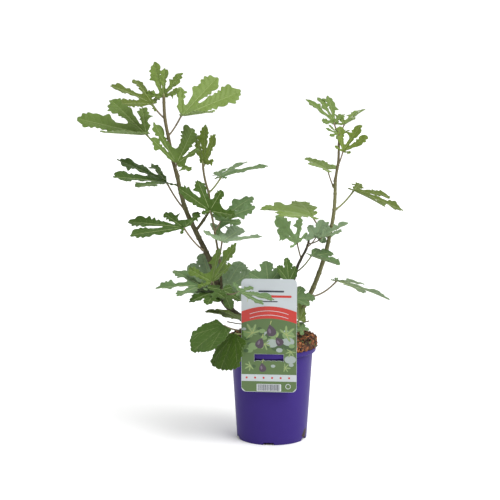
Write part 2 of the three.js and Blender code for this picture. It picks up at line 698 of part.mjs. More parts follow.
// A limb that is grow bigger all over: what grows from it is cut back to the clearance by this.
function limbSolid(name, grow = 0) {
  const [footRadius, tipRadius] = LIMBS[name].radius;
  const path = grow ? [...paths[name], beyond(paths[name], grow)] : paths[name];
  return solidFrom(bentTaper(path, footRadius + grow, tipRadius + grow, SIDES.limb));
}

const clearanceOf = (name) => (name === 'trunk' ? trunkSolid(sockets, GAP) : limbSolid(name, GAP));

const limbs = { trunk: trunkSolid(sockets) };
for (const [name, { on }] of Object.entries(LIMBS))
  limbs[name] = on === 'trunk' ? limbSolid(name) : mainBody(limbSolid(name).subtract(clearanceOf(on)));

const fixed = { pot: potSolid(), compost: compostSolid(), label: labelSolid() };
const foliage = {};
for (const [name, spec] of Object.entries(FOLIAGE)) {
  const path = limbPath({ ...spec, from: startOf(spec) });
  const host = clearanceOf(spec.on);
  const stem = solidFrom(bentTaper(path, spec.radius[0], spec.radius[1], SIDES.stem)).subtract(host);
  const others = Object.values({ ...limbs, ...fixed, ...foliage });
  const leaves = spec.leaves
    .map((leaf) => leafSolid(leaf, path).subtract(host))
    .filter((leaf) => others.every((other) => leaf.intersect(other).isEmpty()));
  foliage[name] = mainBody(join([stem, ...leaves]));
}

const WOOD = { color: 0x6b5f42, roughness: 0.8 };
const FINISH = {
  pot: { color: 0x483a80, roughness: 0.45 },
  compost: { color: 0x5a3320, roughness: 0.95 },
  label: { color: 0xb9c9d6, roughness: 0.35 },
};
const LEAF = { color: 0x5f7f3a, roughness: 0.6 };

const tree = new THREE.Group();
function place(name, solid, finish) {
  const material = new THREE.MeshStandardMaterial({ metalness: 0, side: THREE.FrontSide, ...finish });
  const mesh = new THREE.Mesh(geometryFrom(solid.simplify(FINEST)), material);
  mesh.name = name;
  tree.add(mesh);
}
for (const [name, solid] of Object.entries(fixed)) place(name, solid, FINISH[name]);
for (const [name, solid] of Object.entries(limbs)) place(name, solid, WOOD);
for (const [name, solid] of Object.entries(foliage)) place(name, solid, LEAF);

export default tree;
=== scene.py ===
"""Looks of a young fig tree in a nursery pot, built round its packed solids.

The plant's tables are in millimetres, as in the solids' source, and MM turns them into metres when a
piece's mesh is made. +Z is up and the front faces -Y. Headings are degrees round Z from +X, rises are
degrees above level, and leans are degrees off the vertical.
"""

import math

import bpy
import numpy as np
from bpy.props import FloatProperty, FloatVectorProperty, IntProperty, PointerProperty
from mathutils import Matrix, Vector
from mathutils.geometry import tessellate_polygon


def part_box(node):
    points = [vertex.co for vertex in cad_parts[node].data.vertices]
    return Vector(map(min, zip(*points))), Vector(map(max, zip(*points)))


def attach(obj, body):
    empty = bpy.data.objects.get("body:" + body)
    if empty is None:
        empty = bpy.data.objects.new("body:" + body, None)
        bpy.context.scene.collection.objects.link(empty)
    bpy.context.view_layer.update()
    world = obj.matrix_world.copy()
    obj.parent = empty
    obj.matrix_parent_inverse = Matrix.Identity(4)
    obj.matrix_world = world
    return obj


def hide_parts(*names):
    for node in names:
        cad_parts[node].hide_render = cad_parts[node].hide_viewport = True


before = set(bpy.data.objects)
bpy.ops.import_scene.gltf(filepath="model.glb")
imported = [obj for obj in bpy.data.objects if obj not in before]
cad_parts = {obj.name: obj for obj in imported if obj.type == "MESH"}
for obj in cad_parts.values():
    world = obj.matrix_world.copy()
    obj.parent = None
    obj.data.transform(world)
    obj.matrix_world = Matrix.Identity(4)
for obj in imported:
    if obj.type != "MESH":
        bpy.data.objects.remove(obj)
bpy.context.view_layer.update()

bl_info = {
    "name": "Potted Fig Tree",
    "version": (1, 0, 0),
    "blender": (4, 5, 0),
    "location": "3D View > Sidebar > Fig Tree",
    "description": "Builds the bark, leaves, pot, compost and label of a young fig tree",
    "category": "Add Mesh",
}

MM = 0.001
UP = np.array([0, 0, 1.0])

# ---- the plant's tables ----
GAP = 0.3  # clearance between the solids
STEP = 18.0  # mm between the stations of a limb's path
TRUNK = {"x": -6.0, "y": 0.0, "height": 17.0, "flare": 17.0, "waist": 10.5}
PETIOLE = 1.85  # radius of a leaf stalk

# lobes: (degrees off the midrib, reach as a share of the leaf's length) from the right-hand side round to
# the left. sinus is how far out the bays between lobes start, waist and swell are half-widths of a lobe, and
# keel is the rise of its margins over its vein. The margin of a rounded leaf runs evenly from lobe to lobe.
KINDS = {
    "deep": {
        "lobes": [(-108, 0.34), (-50, 0.86), (0, 1), (50, 0.86), (108, 0.34)],
        "sinus": 0.38, "waist": 0.085, "swell": 0.15, "keel": 0.2,
    },
    "shallow": {
        "lobes": [(-105, 0.62), (-50, 0.86), (0, 1), (50, 0.86), (105, 0.62)],
        "sinus": 0.7, "waist": 0.25, "swell": 0.2, "keel": 0.16,
    },
    "young": {
        "lobes": [(-80, 0.55), (-40, 0.9), (0, 1), (40, 0.9), (80, 0.55)],
        "sinus": 0.3, "waist": 0.075, "swell": 0.15, "keel": 0.2,
    },
    "broad": {
        "lobes": [(-108, 0.34), (-50, 0.86), (0, 1), (50, 0.86), (108, 0.34)],
        "sinus": 0.5, "waist": 0.13, "swell": 0.17, "keel": 0.18,
    },
    "oval": {
        "lobes": [(-75, 0.32), (-34, 0.8), (0, 1), (34, 0.8), (75, 0.32)],
        "sinus": 1, "keel": 0.05, "rounded": True,
    },
}
FOLD = 0.12  # rise of the two halves of a leaf, as in an open book
DROOP = 0.12  # fall of the tips
OUTER_BAY = 26  # degrees from the first and last lobes to the bays outside them
OUTER_REACH = 0.9  # reach of those bays, as a share of the others'


# ---- numbers, directions and paths ----
def chance(seed):
    """A repeatable number from 0 to 1: the fractional part of a large sine of the seed."""
    wave = np.sin(np.asarray(seed, float) * 12.9898) * 43758.5453
    return wave - np.floor(wave)


def jitter(seed, spread):
    """A repeatable number from -spread to spread."""
    return (chance(seed) - 0.5) * 2 * spread


def smoothstep(low, high, value):
    """0 below low, 1 above high, and 3t^2 - 2t^3 of the share t of the way between."""
    t = np.clip((np.asarray(value, float) - low) / (high - low), 0, 1)
    return t * t * (3 - 2 * t)


def unit(vectors):
    """Vectors divided by their length."""
    return vectors / np.maximum(np.linalg.norm(vectors, axis=-1, keepdims=True), 1e-12)


def pointing(heading, rise):
    """(cos rise cos heading, cos rise sin heading, sin rise), for one or many headings and rises."""
    heading, rise = np.radians(heading), np.radians(rise)
    level = np.cos(rise)
    return np.stack([level * np.cos(heading), level * np.sin(heading), np.sin(rise)], -1)


def along(values, t):
    """An evenly spaced list read at t from 0 to 1, straight between its entries."""
    return np.interp(t, np.linspace(0, 1, len(values)), values) if len(values) > 1 else t * 0 + values[0]


def limb_path(spec, start):
    """Equal steps from the start, each pointing by the lean and heading at its middle, summed up."""
    steps = max(2, int(spec["length"] / STEP + 0.5))
    t = (np.arange(steps) + 0.5) / steps
    moves = pointing(along(spec["headings"], t), 90 - along(spec["leans"], t)) * spec["length"] / steps
    return np.vstack([start, start + np.cumsum(moves, 0)])


def distances(path):
    """How far along a path of straight spans each of its points lies."""
    return np.concatenate([[0], np.cumsum(np.linalg.norm(np.diff(path, axis=0), axis=1))])


def place_on(path, distance):
    """The point at a distance along a path of straight spans, or the points at many distances."""
    reach = distances(path)
    return np.stack([np.interp(distance, reach, column) for column in path.T], -1)


def beyond(path, distance):
    """The point a little past a path's tip, along its last span."""
    return path[-1] + unit(path[-1] - path[-2]) * distance


def sunk(path, depth):
    """A path whose first point is moved back along its first span, into what carries it."""
    return np.vstack([path[0] - unit(path[1] - path[0]) * depth, path[1:]])


def smooth_path(path, per_span):
    """Catmull-Rom curve through the path's points: each span is a cubic whose end slopes are half the
    chord between the points on either side."""
    ends = np.vstack([2 * path[0] - path[1], path, 2 * path[-1] - path[-2]])
    a, b, c, d = (points[:, None, :] for points in (ends[:-3], ends[1:-2], ends[2:-1], ends[3:]))
    t = (np.arange(per_span) / per_span)[None, :, None]
    curve = 0.5 * (2 * b + (c - a) * t + (2 * a - 5 * b + 4 * c - d) * t**2 + (3 * b - 3 * c + d - a) * t**3)
    return np.vstack([curve.reshape(-1, 3), path[-1]])


# ---- surfaces ----
# A surface is (points in mm, triangles, finish of each triangle).
CAP_HEIGHT = 0.6  # of a tube's end cap, as a share of the tube's radius
CAP_SHOULDER = 0.7  # the ring on a cap lies at this share of the radius and of the cap's height


def grid_triangles(rows, columns, closed=False):
    """Two triangles for each cell of a grid, whose last column meets its first where it is closed."""
    i, j = np.meshgrid(np.arange(rows - 1), np.arange(columns if closed else columns - 1), indexing="ij")
    a = i * columns + j
    b = i * columns + (j + 1) % columns
    c, d = a + columns, b + columns
    return np.concatenate([np.stack([a, b, d], -1).reshape(-1, 3), np.stack([a, d, c], -1).reshape(-1, 3)])


def surface(points, triangles, finish=0):
    """Points and triangles with one finish for all."""
    return points, triangles, np.full(len(triangles), finish)


def joined(surfaces):
    """Several surfaces as one, with the triangles' numbers moved on by the points before them."""
    starts = np.cumsum([0] + [len(points) for points, _, _ in surfaces[:-1]])
    return (
        np.vstack([points for points, _, _ in surfaces]),
        np.vstack([triangles + start for (_, triangles, _), start in zip(surfaces, starts)]),
        np.concatenate([finish for _, _, finish in surfaces]),
    )


def welded(points, triangles, finish):
    """Points that lie together become one, and triangles that this leaves with two like corners go."""
    _, first, same = np.unique(np.round(points, 4), axis=0, return_index=True, return_inverse=True)
    triangles = same.reshape(-1)[triangles]
    kept = (triangles != np.roll(triangles, 1, 1)).all(1)
    return points[first], triangles[kept], finish[kept]


def normals_of(points, triangles):
    """Unit normals at the points: the sum of the cross products of the triangles round each."""
    corners = points[triangles]
    across = np.cross(corners[:, 1] - corners[:, 0], corners[:, 2] - corners[:, 0])
    total = np.zeros_like(points)
    for k in range(3):
        np.add.at(total, triangles[:, k], across)
    return unit(total)


def thickened(points, triangles, finish, thickness, under):
    """A closed sheet: the surface moved half the thickness to each side along its normals, with a rim
    along each edge that only one triangle has. under is added to the finish of the far side and rim."""
    normal = normals_of(points, triangles) * thickness / 2
    count = len(points)
    edges = np.concatenate([triangles[:, [0, 1]], triangles[:, [1, 2]], triangles[:, [2, 0]]])
    owner = np.tile(np.arange(len(triangles)), 3)
    code = edges[:, 0] * count + edges[:, 1]
    lone = ~np.isin(code, edges[:, 1] * count + edges[:, 0])
    a, b = edges[lone].T
    rim = np.concatenate([np.stack([a, a + count, b + count], -1), np.stack([a, b + count, b], -1)])
    rim_finish = np.tile(finish[owner[lone]], 2) + under
    return (
        np.vstack([points + normal, points - normal]),
        np.vstack([triangles, triangles[:, ::-1] + count, rim]),
        np.concatenate([finish, finish + under, rim_finish]),
    )


def tube(path, radii, sides, finish=0, relief=None):
    """A circle of the given radius carried along the path, square to it, with rounded caps. relief adds to
    the radius: a function of the distance along and of the angle round."""
    forward = unit(np.gradient(path, axis=0))
    reference = np.eye(3)[np.argmin(np.abs(path[-1] - path[0]))]
    across = unit(reference - forward * (forward @ reference)[:, None])
    third = np.cross(forward, across)
    angle = np.arange(sides) * 2 * np.pi / sides
    radius = np.broadcast_to(radii, len(path))[:, None] + angle * 0
    if relief is not None:
        radius = radius + relief(distances(path)[:, None], angle[None, :])
    ring = across[:, None] * np.cos(angle)[None, :, None] + third[:, None] * np.sin(angle)[None, :, None]
    body = path[:, None] + ring * radius[..., None]
    shoulders, poles = [], []
    for end, way in ((0, -1), (-1, 1)):
        rise = way * CAP_HEIGHT * radius[end].mean() * forward[end]
        shoulders.append([path[end] + (body[end] - path[end] + rise) * CAP_SHOULDER])
        poles.append(path[end] + rise)
    rows = np.concatenate([shoulders[0], body, shoulders[1]])
    points = np.vstack([rows.reshape(-1, 3), *poles])
    count = len(rows) * sides
    turn = np.arange(sides)
    after = (turn + 1) % sides
    foot = np.stack([after, turn, np.full(sides, count)], -1)
    top = np.stack([turn, after, np.full(sides, count + 1)], -1)
    top[:, :2] += count - sides
    triangles = np.vstack([grid_triangles(len(rows), sides, closed=True), foot, top])
    return surface(points, triangles, finish)


def turned(profile, sides, radius_at=None):
    """A profile of (radius, height) points turned round Z. radius_at changes (radius, height, angle) to a
    new radius. The profile starts and ends on the axis, where its points are one."""
    angle = np.arange(sides) * 2 * np.pi / sides
    radius, height = (column[:, None] + angle * 0 for column in np.asarray(profile, float).T)
    if radius_at is not None:
        radius = radius_at(radius, height, angle[None, :] + radius * 0)
    points = np.stack([radius * np.cos(angle), radius * np.sin(angle), height], -1).reshape(-1, 3)
    return welded(*surface(points, grid_triangles(len(profile), sides, closed=True)))


def shade_smooth(mesh, sharp):
    """Smooth faces, with edges over the angle sharp, in degrees, kept sharp where it is given."""
    mesh.polygons.foreach_set("use_smooth", np.ones(len(mesh.polygons), bool))
    if sharp is not None:
        mesh.set_sharp_from_angle(angle=math.radians(sharp))


def piece(name, shape, materials, replaces, sharp=None):
    """A mesh object at the origin from a surface in mm, riding on the plant's body. The triangles' finishes
    are the places of their materials in the list."""
    points, triangles, finish = shape
    if not len(triangles):
        raise RuntimeError(name + " came out empty")
    mesh = bpy.data.meshes.new(name)
    mesh.vertices.add(len(points))
    mesh.vertices.foreach_set("co", (points * MM).astype(np.float32).ravel())
    mesh.loops.add(triangles.size)
    mesh.loops.foreach_set("vertex_index", triangles.astype(np.int32).ravel())
    mesh.polygons.add(len(triangles))
    mesh.polygons.foreach_set("loop_start", np.arange(0, triangles.size, 3, dtype=np.int32))
    for material in materials:
        mesh.materials.append(material)
    mesh.polygons.foreach_set("material_index", finish.astype(np.int32))
    mesh.update(calc_edges=True)
    mesh.validate()
    shade_smooth(mesh, sharp)
    made = bpy.data.objects.new(name, mesh)
    bpy.context.scene.collection.objects.link(made)
    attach(made, "root")
    if replaces:
        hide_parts(*replaces)
    return made


# ---- the leaf rule ----
BASE_STATIONS = 9  # spans of a lobe from the stalk to its bays
EDGE_STATIONS = 44  # spans of a lobe from its bays to its tip
ACROSS = 4  # spans from a lobe's vein to its margin
FOLD_ROUND = 0.02  # half-width of the rounded bottom of the fold
FIRST_VEIN = 0.16  # where side veins start on a lobe, as a share of its reach
LEAST_SPACING = 0.09  # between side veins, as a share of the leaf's length
TOOTH_LEAN = 1.6  # over 1 a tooth's top lies towards the lobe's tip
TOOTH_BLUNT = 0.8  # under 1 a tooth is blunter than a sine
TEETH_FADE = 5  # power by which the teeth fade from the margin to the vein
RIPPLES = 17  # radians of the margin's waves along a lobe
MIDRIB_RINGS, SIDE_VEIN_RINGS, STALK_RINGS = 15, 6, 15
STALK_SIDES = 8


def evenly_read(curve, side):
    """A margin at EDGE_STATIONS equal arc lengths, on the side given by its sign, and its whole length."""
    length = distances(curve)[-1]
    return place_on(curve, np.linspace(0, length, EDGE_STATIONS + 1)) * [1, side], length


def lobe_margin(bay, reach, kind, side):
    """A lobe's margin from its bay to its tip, in the lobe's own x (forward) and y (left): cubic Hermite
    spans through the bay, the waist, the swell, the shoulder and the tip, read at equal arc lengths. On a
    rounded leaf the radius eases from the bay's to the tip's while the angle goes evenly to the vein's."""
    x0, y0 = bay[0], abs(bay[1])
    bay_reach = math.hypot(x0, y0)
    if "rounded" in kind:
        t = np.linspace(0, 1, 96)
        radius = bay_reach + (reach - bay_reach) * smoothstep(0, 1, t)
        angle = math.atan2(y0, x0) * (1 - t)
        return evenly_read(np.stack([radius * np.cos(angle), radius * np.sin(angle)], -1), side)
    waist, swell = kind["waist"] * reach, kind["swell"] * reach
    run = reach - x0
    bay_slope = np.array([y0, -x0]) / bay_reach * (y0 + 0.1 * run) * 0.8
    knots = np.array([
        [x0, y0],  # bay
        [x0 + 0.3 * run, waist * 1.08],  # waist
        [x0 + 0.66 * run, swell * 0.98],  # swell
        [x0 + 0.86 * run, swell * 0.7],  # shoulder
        [reach, 0],  # tip
    ])
    slopes = np.array([
        bay_slope,
        [0.4 * run, 0],
        [0.26 * run, 0.1 * swell],
        [0.15 * run, -0.5 * swell],
        [0.12 * run, -0.75 * swell],
    ])
    t = np.linspace(0, 1, 24)[None, :, None]
    p, q = knots[:-1, None], knots[1:, None]
    m, n = slopes[:-1, None], slopes[1:, None]
    curve = (
        (2 * t**3 - 3 * t**2 + 1) * p + (t**3 - 2 * t**2 + t) * m
        + (3 * t**2 - 2 * t**3) * q + (t**3 - t**2) * n
    )
    return evenly_read(curve.reshape(-1, 2), side)


def teeth(curve, length, seed, tooth, side, rounded):
    """Moves of the margin outwards: a hump sin(pi u^lean)^blunt for each tooth, u going from 0 to 1 over it,
    which fades out in the bay and at the tip, and on some margins one large tooth about half way. Teeth are
    smaller on short margins. length is the margin's length in teeth pitches. A rounded leaf has low even
    scallops, the root of a sine's size."""
    s = np.linspace(0, 1, len(curve))
    way = unit(np.gradient(curve, axis=0))
    outwards = np.stack([-way[:, 1], way[:, 0]], -1) * side
    if rounded:
        scallop = np.sqrt(np.abs(np.sin(np.pi * s * max(1, round(length * 1.3)))))
        return outwards * (scallop * tooth * 0.6)[:, None]
    tooth = tooth * min(1, length / 3)
    wave = s * max(3, round(length)) + 0.4 * np.sin(s * 9 + seed * 5) + chance(seed)
    number = np.floor(wave)
    hump = np.sin(np.pi * (wave - number) ** TOOTH_LEAN) ** TOOTH_BLUNT
    size = tooth * (0.6 + 0.8 * chance(number + seed * 3.1))
    fade = smoothstep(0.16, 0.4, s) * (1 - 0.6 * smoothstep(0.97, 1, s))
    large_at = 0.42 + 0.2 * chance(seed + 0.6)
    large = np.clip(1 - (large_at - s) / 0.2, 0, 1) * (1 - smoothstep(large_at, large_at + 0.05, s))
    large_size = 2.2 * tooth * (chance(seed + 1.9) > 0.6)
    return outwards * ((hump - 0.5) * size * fade + large * large_size)[:, None]


def lobes_and_bays(leaf):
    """The leaf's lobes, each shaken a little by the leaf's seed, and the bays before, between and after
    them, all as (degrees off the midrib, reach)."""
    kind, seed = KINDS[leaf["kind"]], leaf["seed"]
    lobes = [
        (angle + jitter(seed + i * 1.7, 2), reach * (1 + jitter(seed + i * 2.9 + 0.4, 0.03)))
        for i, (angle, reach) in enumerate(leaf.get("lobes", kind["lobes"]))
    ]
    bays = []
    for (angle, reach), (next_angle, next_reach) in zip(lobes, lobes[1:]):
        between = (reach + next_reach) / 2 if "rounded" in kind else min(reach, next_reach)
        bays.append(((angle + next_angle) / 2, between * kind["sinus"]))
    before, after = (
        (angle + turn, reach * kind["sinus"] * OUTER_REACH)
        for (angle, reach), turn in ((lobes[0], -OUTER_BAY), (lobes[-1], OUTER_BAY))
    )
    return lobes, [before, *bays, after]


def lobe_edges(ends, reach, kind, seed, tooth, pitch):
    """A lobe's right and left edges, from the stalk straight to the bay and on along the margin, first
    smooth and then with teeth: two lists of (right, left)."""
    share = np.linspace(0, 1, BASE_STATIONS + 1)[:-1, None]
    smooth, toothed = [], []
    for end, side in zip(ends, (-1, 1)):
        curve, length = lobe_margin(end, reach, kind, side)
        moved = curve + teeth(curve, length / pitch, seed + side, tooth, side, "rounded" in kind)
        smooth.append(np.vstack([end * share, curve]))
        toothed.append(np.vstack([end * share, moved]))
    return smooth, toothed


def lobe_grids(leaf):
    """Each lobe as a grid of stations from the stalk to the tip by columns from its right margin over the
    vein to its left margin. The leaf's (x, y) come from the vein plus the column's share of the way to the
    margin. Its height is fold |y| - droop (x^2 + y^2) + keel times the way to the margin, less the creases
    along the side veins and plus a ripple of the margin. back is how far along the lobe the side vein
    through a point leaves the midrib."""
    settings = bpy.context.scene.fig_leaves
    kind, seed = KINDS[leaf["kind"]], leaf["seed"]
    lobes, bays = lobes_and_bays(leaf)
    metre = 1 / MM / leaf["size"]
    tooth = settings.tooth_depth * metre * math.sqrt(min(leaf["size"] / 100, 1))
    pitch = settings.tooth_pitch * metre
    gap = max(LEAST_SPACING, settings.vein_spacing * metre)
    station = np.linspace(0, 1, BASE_STATIONS + EDGE_STATIONS + 1)[:, None]
    step = station * (BASE_STATIONS + EDGE_STATIONS)
    past_bay = smoothstep(0, 0.3, (step - BASE_STATIONS) / EDGE_STATIONS)
    column = np.linspace(-1, 1, 2 * ACROSS + 1)[None, :]
    spread = np.abs(column)
    away = spread[..., None]
    on_right = column[..., None] < 0
    grids = []
    for i, (angle, reach) in enumerate(lobes):
        turns = [math.radians(bay_angle - angle) for bay_angle, _ in bays[i:i + 2]]
        reaches = [bay_reach for _, bay_reach in bays[i:i + 2]]
        ends = [out * np.array([math.cos(turn), math.sin(turn)]) for turn, out in zip(turns, reaches)]
        smooth, toothed = lobe_edges(ends, reach, kind, seed + i * 7.3, tooth, pitch)
        vein = np.stack([(smooth[0][:, 0] + smooth[1][:, 0]) / 2, smooth[0][:, 0] * 0], -1)
        vein[-1] = [reach, 0]
        vein = vein[:, None]
        margin, cut = (
            np.where(on_right, right[:, None], left[:, None]) for right, left in (smooth, toothed)
        )
        flat = vein + away * (margin - vein) + away**TEETH_FADE * (cut - margin)
        turn = math.radians(angle)
        x = flat[..., 0] * math.cos(turn) - flat[..., 1] * math.sin(turn)
        y = flat[..., 0] * math.sin(turn) + flat[..., 1] * math.cos(turn)
        wide = np.linalg.norm(margin - vein, axis=-1)
        base_rise = np.where(column < 0, *reaches) * 0.4 * np.minimum(step / BASE_STATIONS, 1)
        rise = base_rise * (1 - past_bay) + np.abs(margin[..., 1]) * past_bay
        back = vein[..., 0] - settings.vein_sweep * spread * wide
        crease = np.abs(np.sin(np.pi * (back - FIRST_VEIN * reach) / gap)) * spread * (1 - spread) * 4
        ripple = spread**2 * past_bay * np.sin(station * RIPPLES + seed + 2.1 * column)
        height = (
            leaf["fold"] * (np.hypot(y, FOLD_ROUND) - FOLD_ROUND) - leaf["droop"] * (x**2 + y**2)
            + kind["keel"] * rise * spread**1.4
            + settings.quilting * crease * (1 - smoothstep(0.85, 1, station))
            + settings.ripple * ripple * (1 - smoothstep(0.9, 1, station))
        )
        grids.append({"x": x, "y": y, "height": height, "back": back, "reach": reach, "gap": gap})
    return grids


def placed_grids(leaf):
    """The lobes' grids in space: joint + size (x forward + y sideways + height normal), with the three
    directions from the leaf's heading, rise and roll."""
    forward = pointing(leaf["heading"], leaf["rise"])
    level = pointing(leaf["heading"] + 90, 0)
    roll = math.radians(leaf["roll"])
    sideways = level * math.cos(roll) + np.cross(forward, level) * math.sin(roll)
    axes = np.array([forward, sideways, np.cross(forward, sideways)])
    placed = []
    for grid in lobe_grids(leaf):
        local = np.stack([grid["x"], grid["y"], grid["height"]], -1)
        placed.append({**grid, "points": leaf["joint"] + leaf["size"] * (local @ axes)})
    return placed


def blade(grids, finish):
    """The leaf's sheet: its lobes' grids welded along the lines that they share."""
    lobes = []
    for grid in grids:
        rows, columns, _ = grid["points"].shape
        lobes.append(surface(grid["points"].reshape(-1, 3), grid_triangles(rows, columns)[:, ::-1], finish))
    sheet = welded(*joined(lobes))
    return thickened(*sheet, bpy.context.scene.fig_leaves.thickness / MM, under=len(TINTS))


def read_grid(grid, i, j):
    """A grid read between its points: the four round each place, weighted by how near they are."""
    low_i = np.clip(np.floor(i).astype(int), 0, grid.shape[0] - 2)
    low_j = np.clip(np.floor(j).astype(int), 0, grid.shape[1] - 2)
    f, g = (i - low_i)[..., None], (j - low_j)[..., None]
    near = grid[low_i, low_j] * (1 - g) + grid[low_i, low_j + 1] * g
    far = grid[low_i + 1, low_j] * (1 - g) + grid[low_i + 1, low_j + 1] * g
    return near * (1 - f) + far * f


def ribs(path, normal, half_width, half_height, finish=0):
    """Slender bars of diamond section along many paths at once: each ring's corners are the path's point
    plus and minus the width across it and the height along the normal."""
    way = unit(np.gradient(path, axis=1))
    normal = unit(normal - way * (normal * way).sum(-1, keepdims=True))
    across = np.cross(way, normal)
    w, h = half_width[..., None], half_height[..., None]
    rings = np.stack([path + across * w, path + normal * h, path - across * w, path - normal * h], 2)
    count, rows = rings.shape[:2]
    side = grid_triangles(rows, 4, closed=True)
    foot = np.array([[0, 2, 1], [0, 3, 2]])
    top = np.array([[0, 1, 2], [0, 2, 3]]) + (rows - 1) * 4
    one = np.vstack([side, foot, top])[:, ::-1]
    triangles = (one[None] + (np.arange(count) * rows * 4)[:, None, None]).reshape(-1, 3)
    return surface(rings.reshape(-1, 3), triangles, finish)


def vein_bars(points, i, j, half_width, clear, finish):
    """Bars along the places (row i, column j) of a lobe's grid, which stand out of the sheet by the
    clearance over its middle plane and about half of their half-width."""
    normal = unit(np.cross(np.gradient(points, axis=0), np.gradient(points, axis=1)))
    height = half_width * 0.55 + clear
    return ribs(read_grid(points, i, j), read_grid(normal, i, j), half_width, height, finish)


def veins(leaf, grids, finish):
    """The veins of a leaf: a bar along each lobe's middle column, and side veins that leave it at an even
    spacing and sweep forward to the margin, on the lines where the blade's creases are. Their finish is the
    tint's number, past all the midribs' finishes for a side vein and for every vein of an oval leaf."""
    side_finish = finish + len(TINTS)
    main_finish = side_finish if leaf["kind"] == "oval" else finish
    settings = bpy.context.scene.fig_leaves
    main_half = settings.vein_width / MM / 2 * math.sqrt(leaf["size"] / 100)
    side_half = main_half * 0.42
    clear = settings.thickness / MM / 2 + 0.15
    bars = []
    for grid in grids:
        points, reach = grid["points"], grid["reach"]
        station = np.arange(len(points))
        i = np.linspace(0, 0.97 * station[-1], MIDRIB_RINGS)[None]
        half_width = np.linspace(1, 0.3, MIDRIB_RINGS)[None] * main_half * min(1, 0.55 + 0.5 * reach)
        bars.append(vein_bars(points, i, i * 0 + ACROSS, half_width, clear, main_finish))
        starts = np.arange(FIRST_VEIN * reach + grid["gap"], 0.88 * reach, grid["gap"])
        if not len(starts):
            continue
        for side in (-1, 1):
            j = ACROSS + side * np.linspace(0.02, 0.94, SIDE_VEIN_RINGS) * ACROSS
            backs = [read_grid(grid["back"][..., None], station, place + station * 0.0)[:, 0] for place in j]
            i = np.stack([np.interp(starts, np.maximum.accumulate(back), station) for back in backs], -1)
            half_width = np.linspace(1, 0.45, SIDE_VEIN_RINGS)[None] * side_half + i * 0
            bars.append(vein_bars(points, i, j[None] + i * 0, half_width, clear, side_finish))
    return joined(bars)


def stalk(leaf):
    """A leaf stalk: a quadratic Bezier curve from the stem to the blade, its middle lowered by the bow, as
    a tube that is swollen at its foot and at the blade."""
    foot, joint = leaf["foot"], leaf["joint"]
    middle = (foot + joint) / 2 - np.array([0, 0, leaf["bow"]])
    t = np.linspace(0, 1, STALK_RINGS)
    weights = np.stack([(1 - t) ** 2, 2 * t * (1 - t), t**2], -1)
    slim = min(1, 0.55 + leaf["size"] / 200)
    swelling = 0.75 * np.exp(-((t / 0.06) ** 2)) + 0.3 * np.exp(-(((1 - t) / 0.05) ** 2))
    radii = PETIOLE * slim * (0.92 + swelling)
    return tube(weights @ [foot, middle, joint], radii, STALK_SIDES, leaf["stalk_finish"])


# ---- the plant's limbs and masses ----
LEAF_SEEDS = []  # one for each leaf made so far


def leaf(kind, at, stalk_pose, blade_pose, tint, **shape):
    """One leaf. at: distance along its stem. stalk_pose: (length, heading, rise). blade_pose: (length,
    heading, rise, roll). tint: the name of its colour. Seeds follow the order in which leaves are listed."""
    LEAF_SEEDS.append(len(LEAF_SEEDS) + 1)
    size, heading, rise, roll = blade_pose
    return {
        "kind": kind, "at": at, "stalk": stalk_pose, "size": size, "heading": heading, "rise": rise,
        "roll": roll, "tint": tint, "fold": FOLD, "droop": DROOP, "bow": 0.12 * stalk_pose[0],
        "seed": LEAF_SEEDS[-1] * 3.7, **shape,
    }


def fan_of_leaves(count, kind, low, high, limits):
    """A fan of like leaves round a stem: headings go from one limit to the other and back while the
    leaves climb from one distance to the other."""
    least, most = limits
    leaves = []
    for i in range(count):
        heading = least + (most - least) * ((i * 2.6) % count) / (count - 1) + jitter(i + 0.7, 6)
        stalk_pose = (34 + jitter(i + 0.2, 8), heading, 26 + jitter(i + 0.5, 10))
        size = 46 + jitter(i + 0.9, 6)
        blade_pose = (size, heading + jitter(i + 1.3, 15), 8 + jitter(i + 1.6, 16), jitter(i, 12))
        at = low + (high - low) * i / (count - 1)
        leaves.append(leaf(kind, at, stalk_pose, blade_pose, ("mid", "grey")[i % 2]))
    return leaves


def spur(bough, at, radius, lean, heading, one):
    """A mass of one leaf: a short spur at the side of a bough, tapering a little from its radius."""
    return {
        "on": bough, "at": at, "length": 10, "radius": [radius, radius - 0.2],
        "leans": [lean], "headings": [heading], "leaves": [one],
    }


LIMBS = {
    "bough_left": {
        "on": "trunk", "at": [-18, 1, 214], "length": 352, "radius": [6.6, 3.9],
        "leans": [66, 62, 36, 10, 24, 27, 25, 14, 10], "headings": [178, 172, 176, 180],
    },
    "bough_right": {
        "on": "trunk", "at": [7, -2, 214], "length": 322, "radius": [5.4, 3],
        "leans": [62, 52, 28, 21, 18, 12, 10, 2, 0], "headings": [2, -3, 4, 0],
    },
    "bough_middle": {
        "on": "trunk", "at": [-2, 4, 221], "length": 106, "radius": [4.4, 3.5],
        "leans": [40, 30, 20, 16], "headings": [10, -2],
    },
    "bough_low": {
        "on": "bough_left", "at": 84, "length": 40, "radius": [3.4, 2.5],
        "leans": [52, 40], "headings": [-140, -130],
    },
    "bough_centre": {
        "on": "bough_left", "at": 100, "length": 70, "radius": [3, 2.4],
        "leans": [6, 5], "headings": [-120],
    },
    "bough_inner": {
        "on": "bough_left", "at": 239, "length": 47, "radius": [2.7, 2.5],
        "leans": [42, 36, 32], "headings": [12, 24],
    },
}

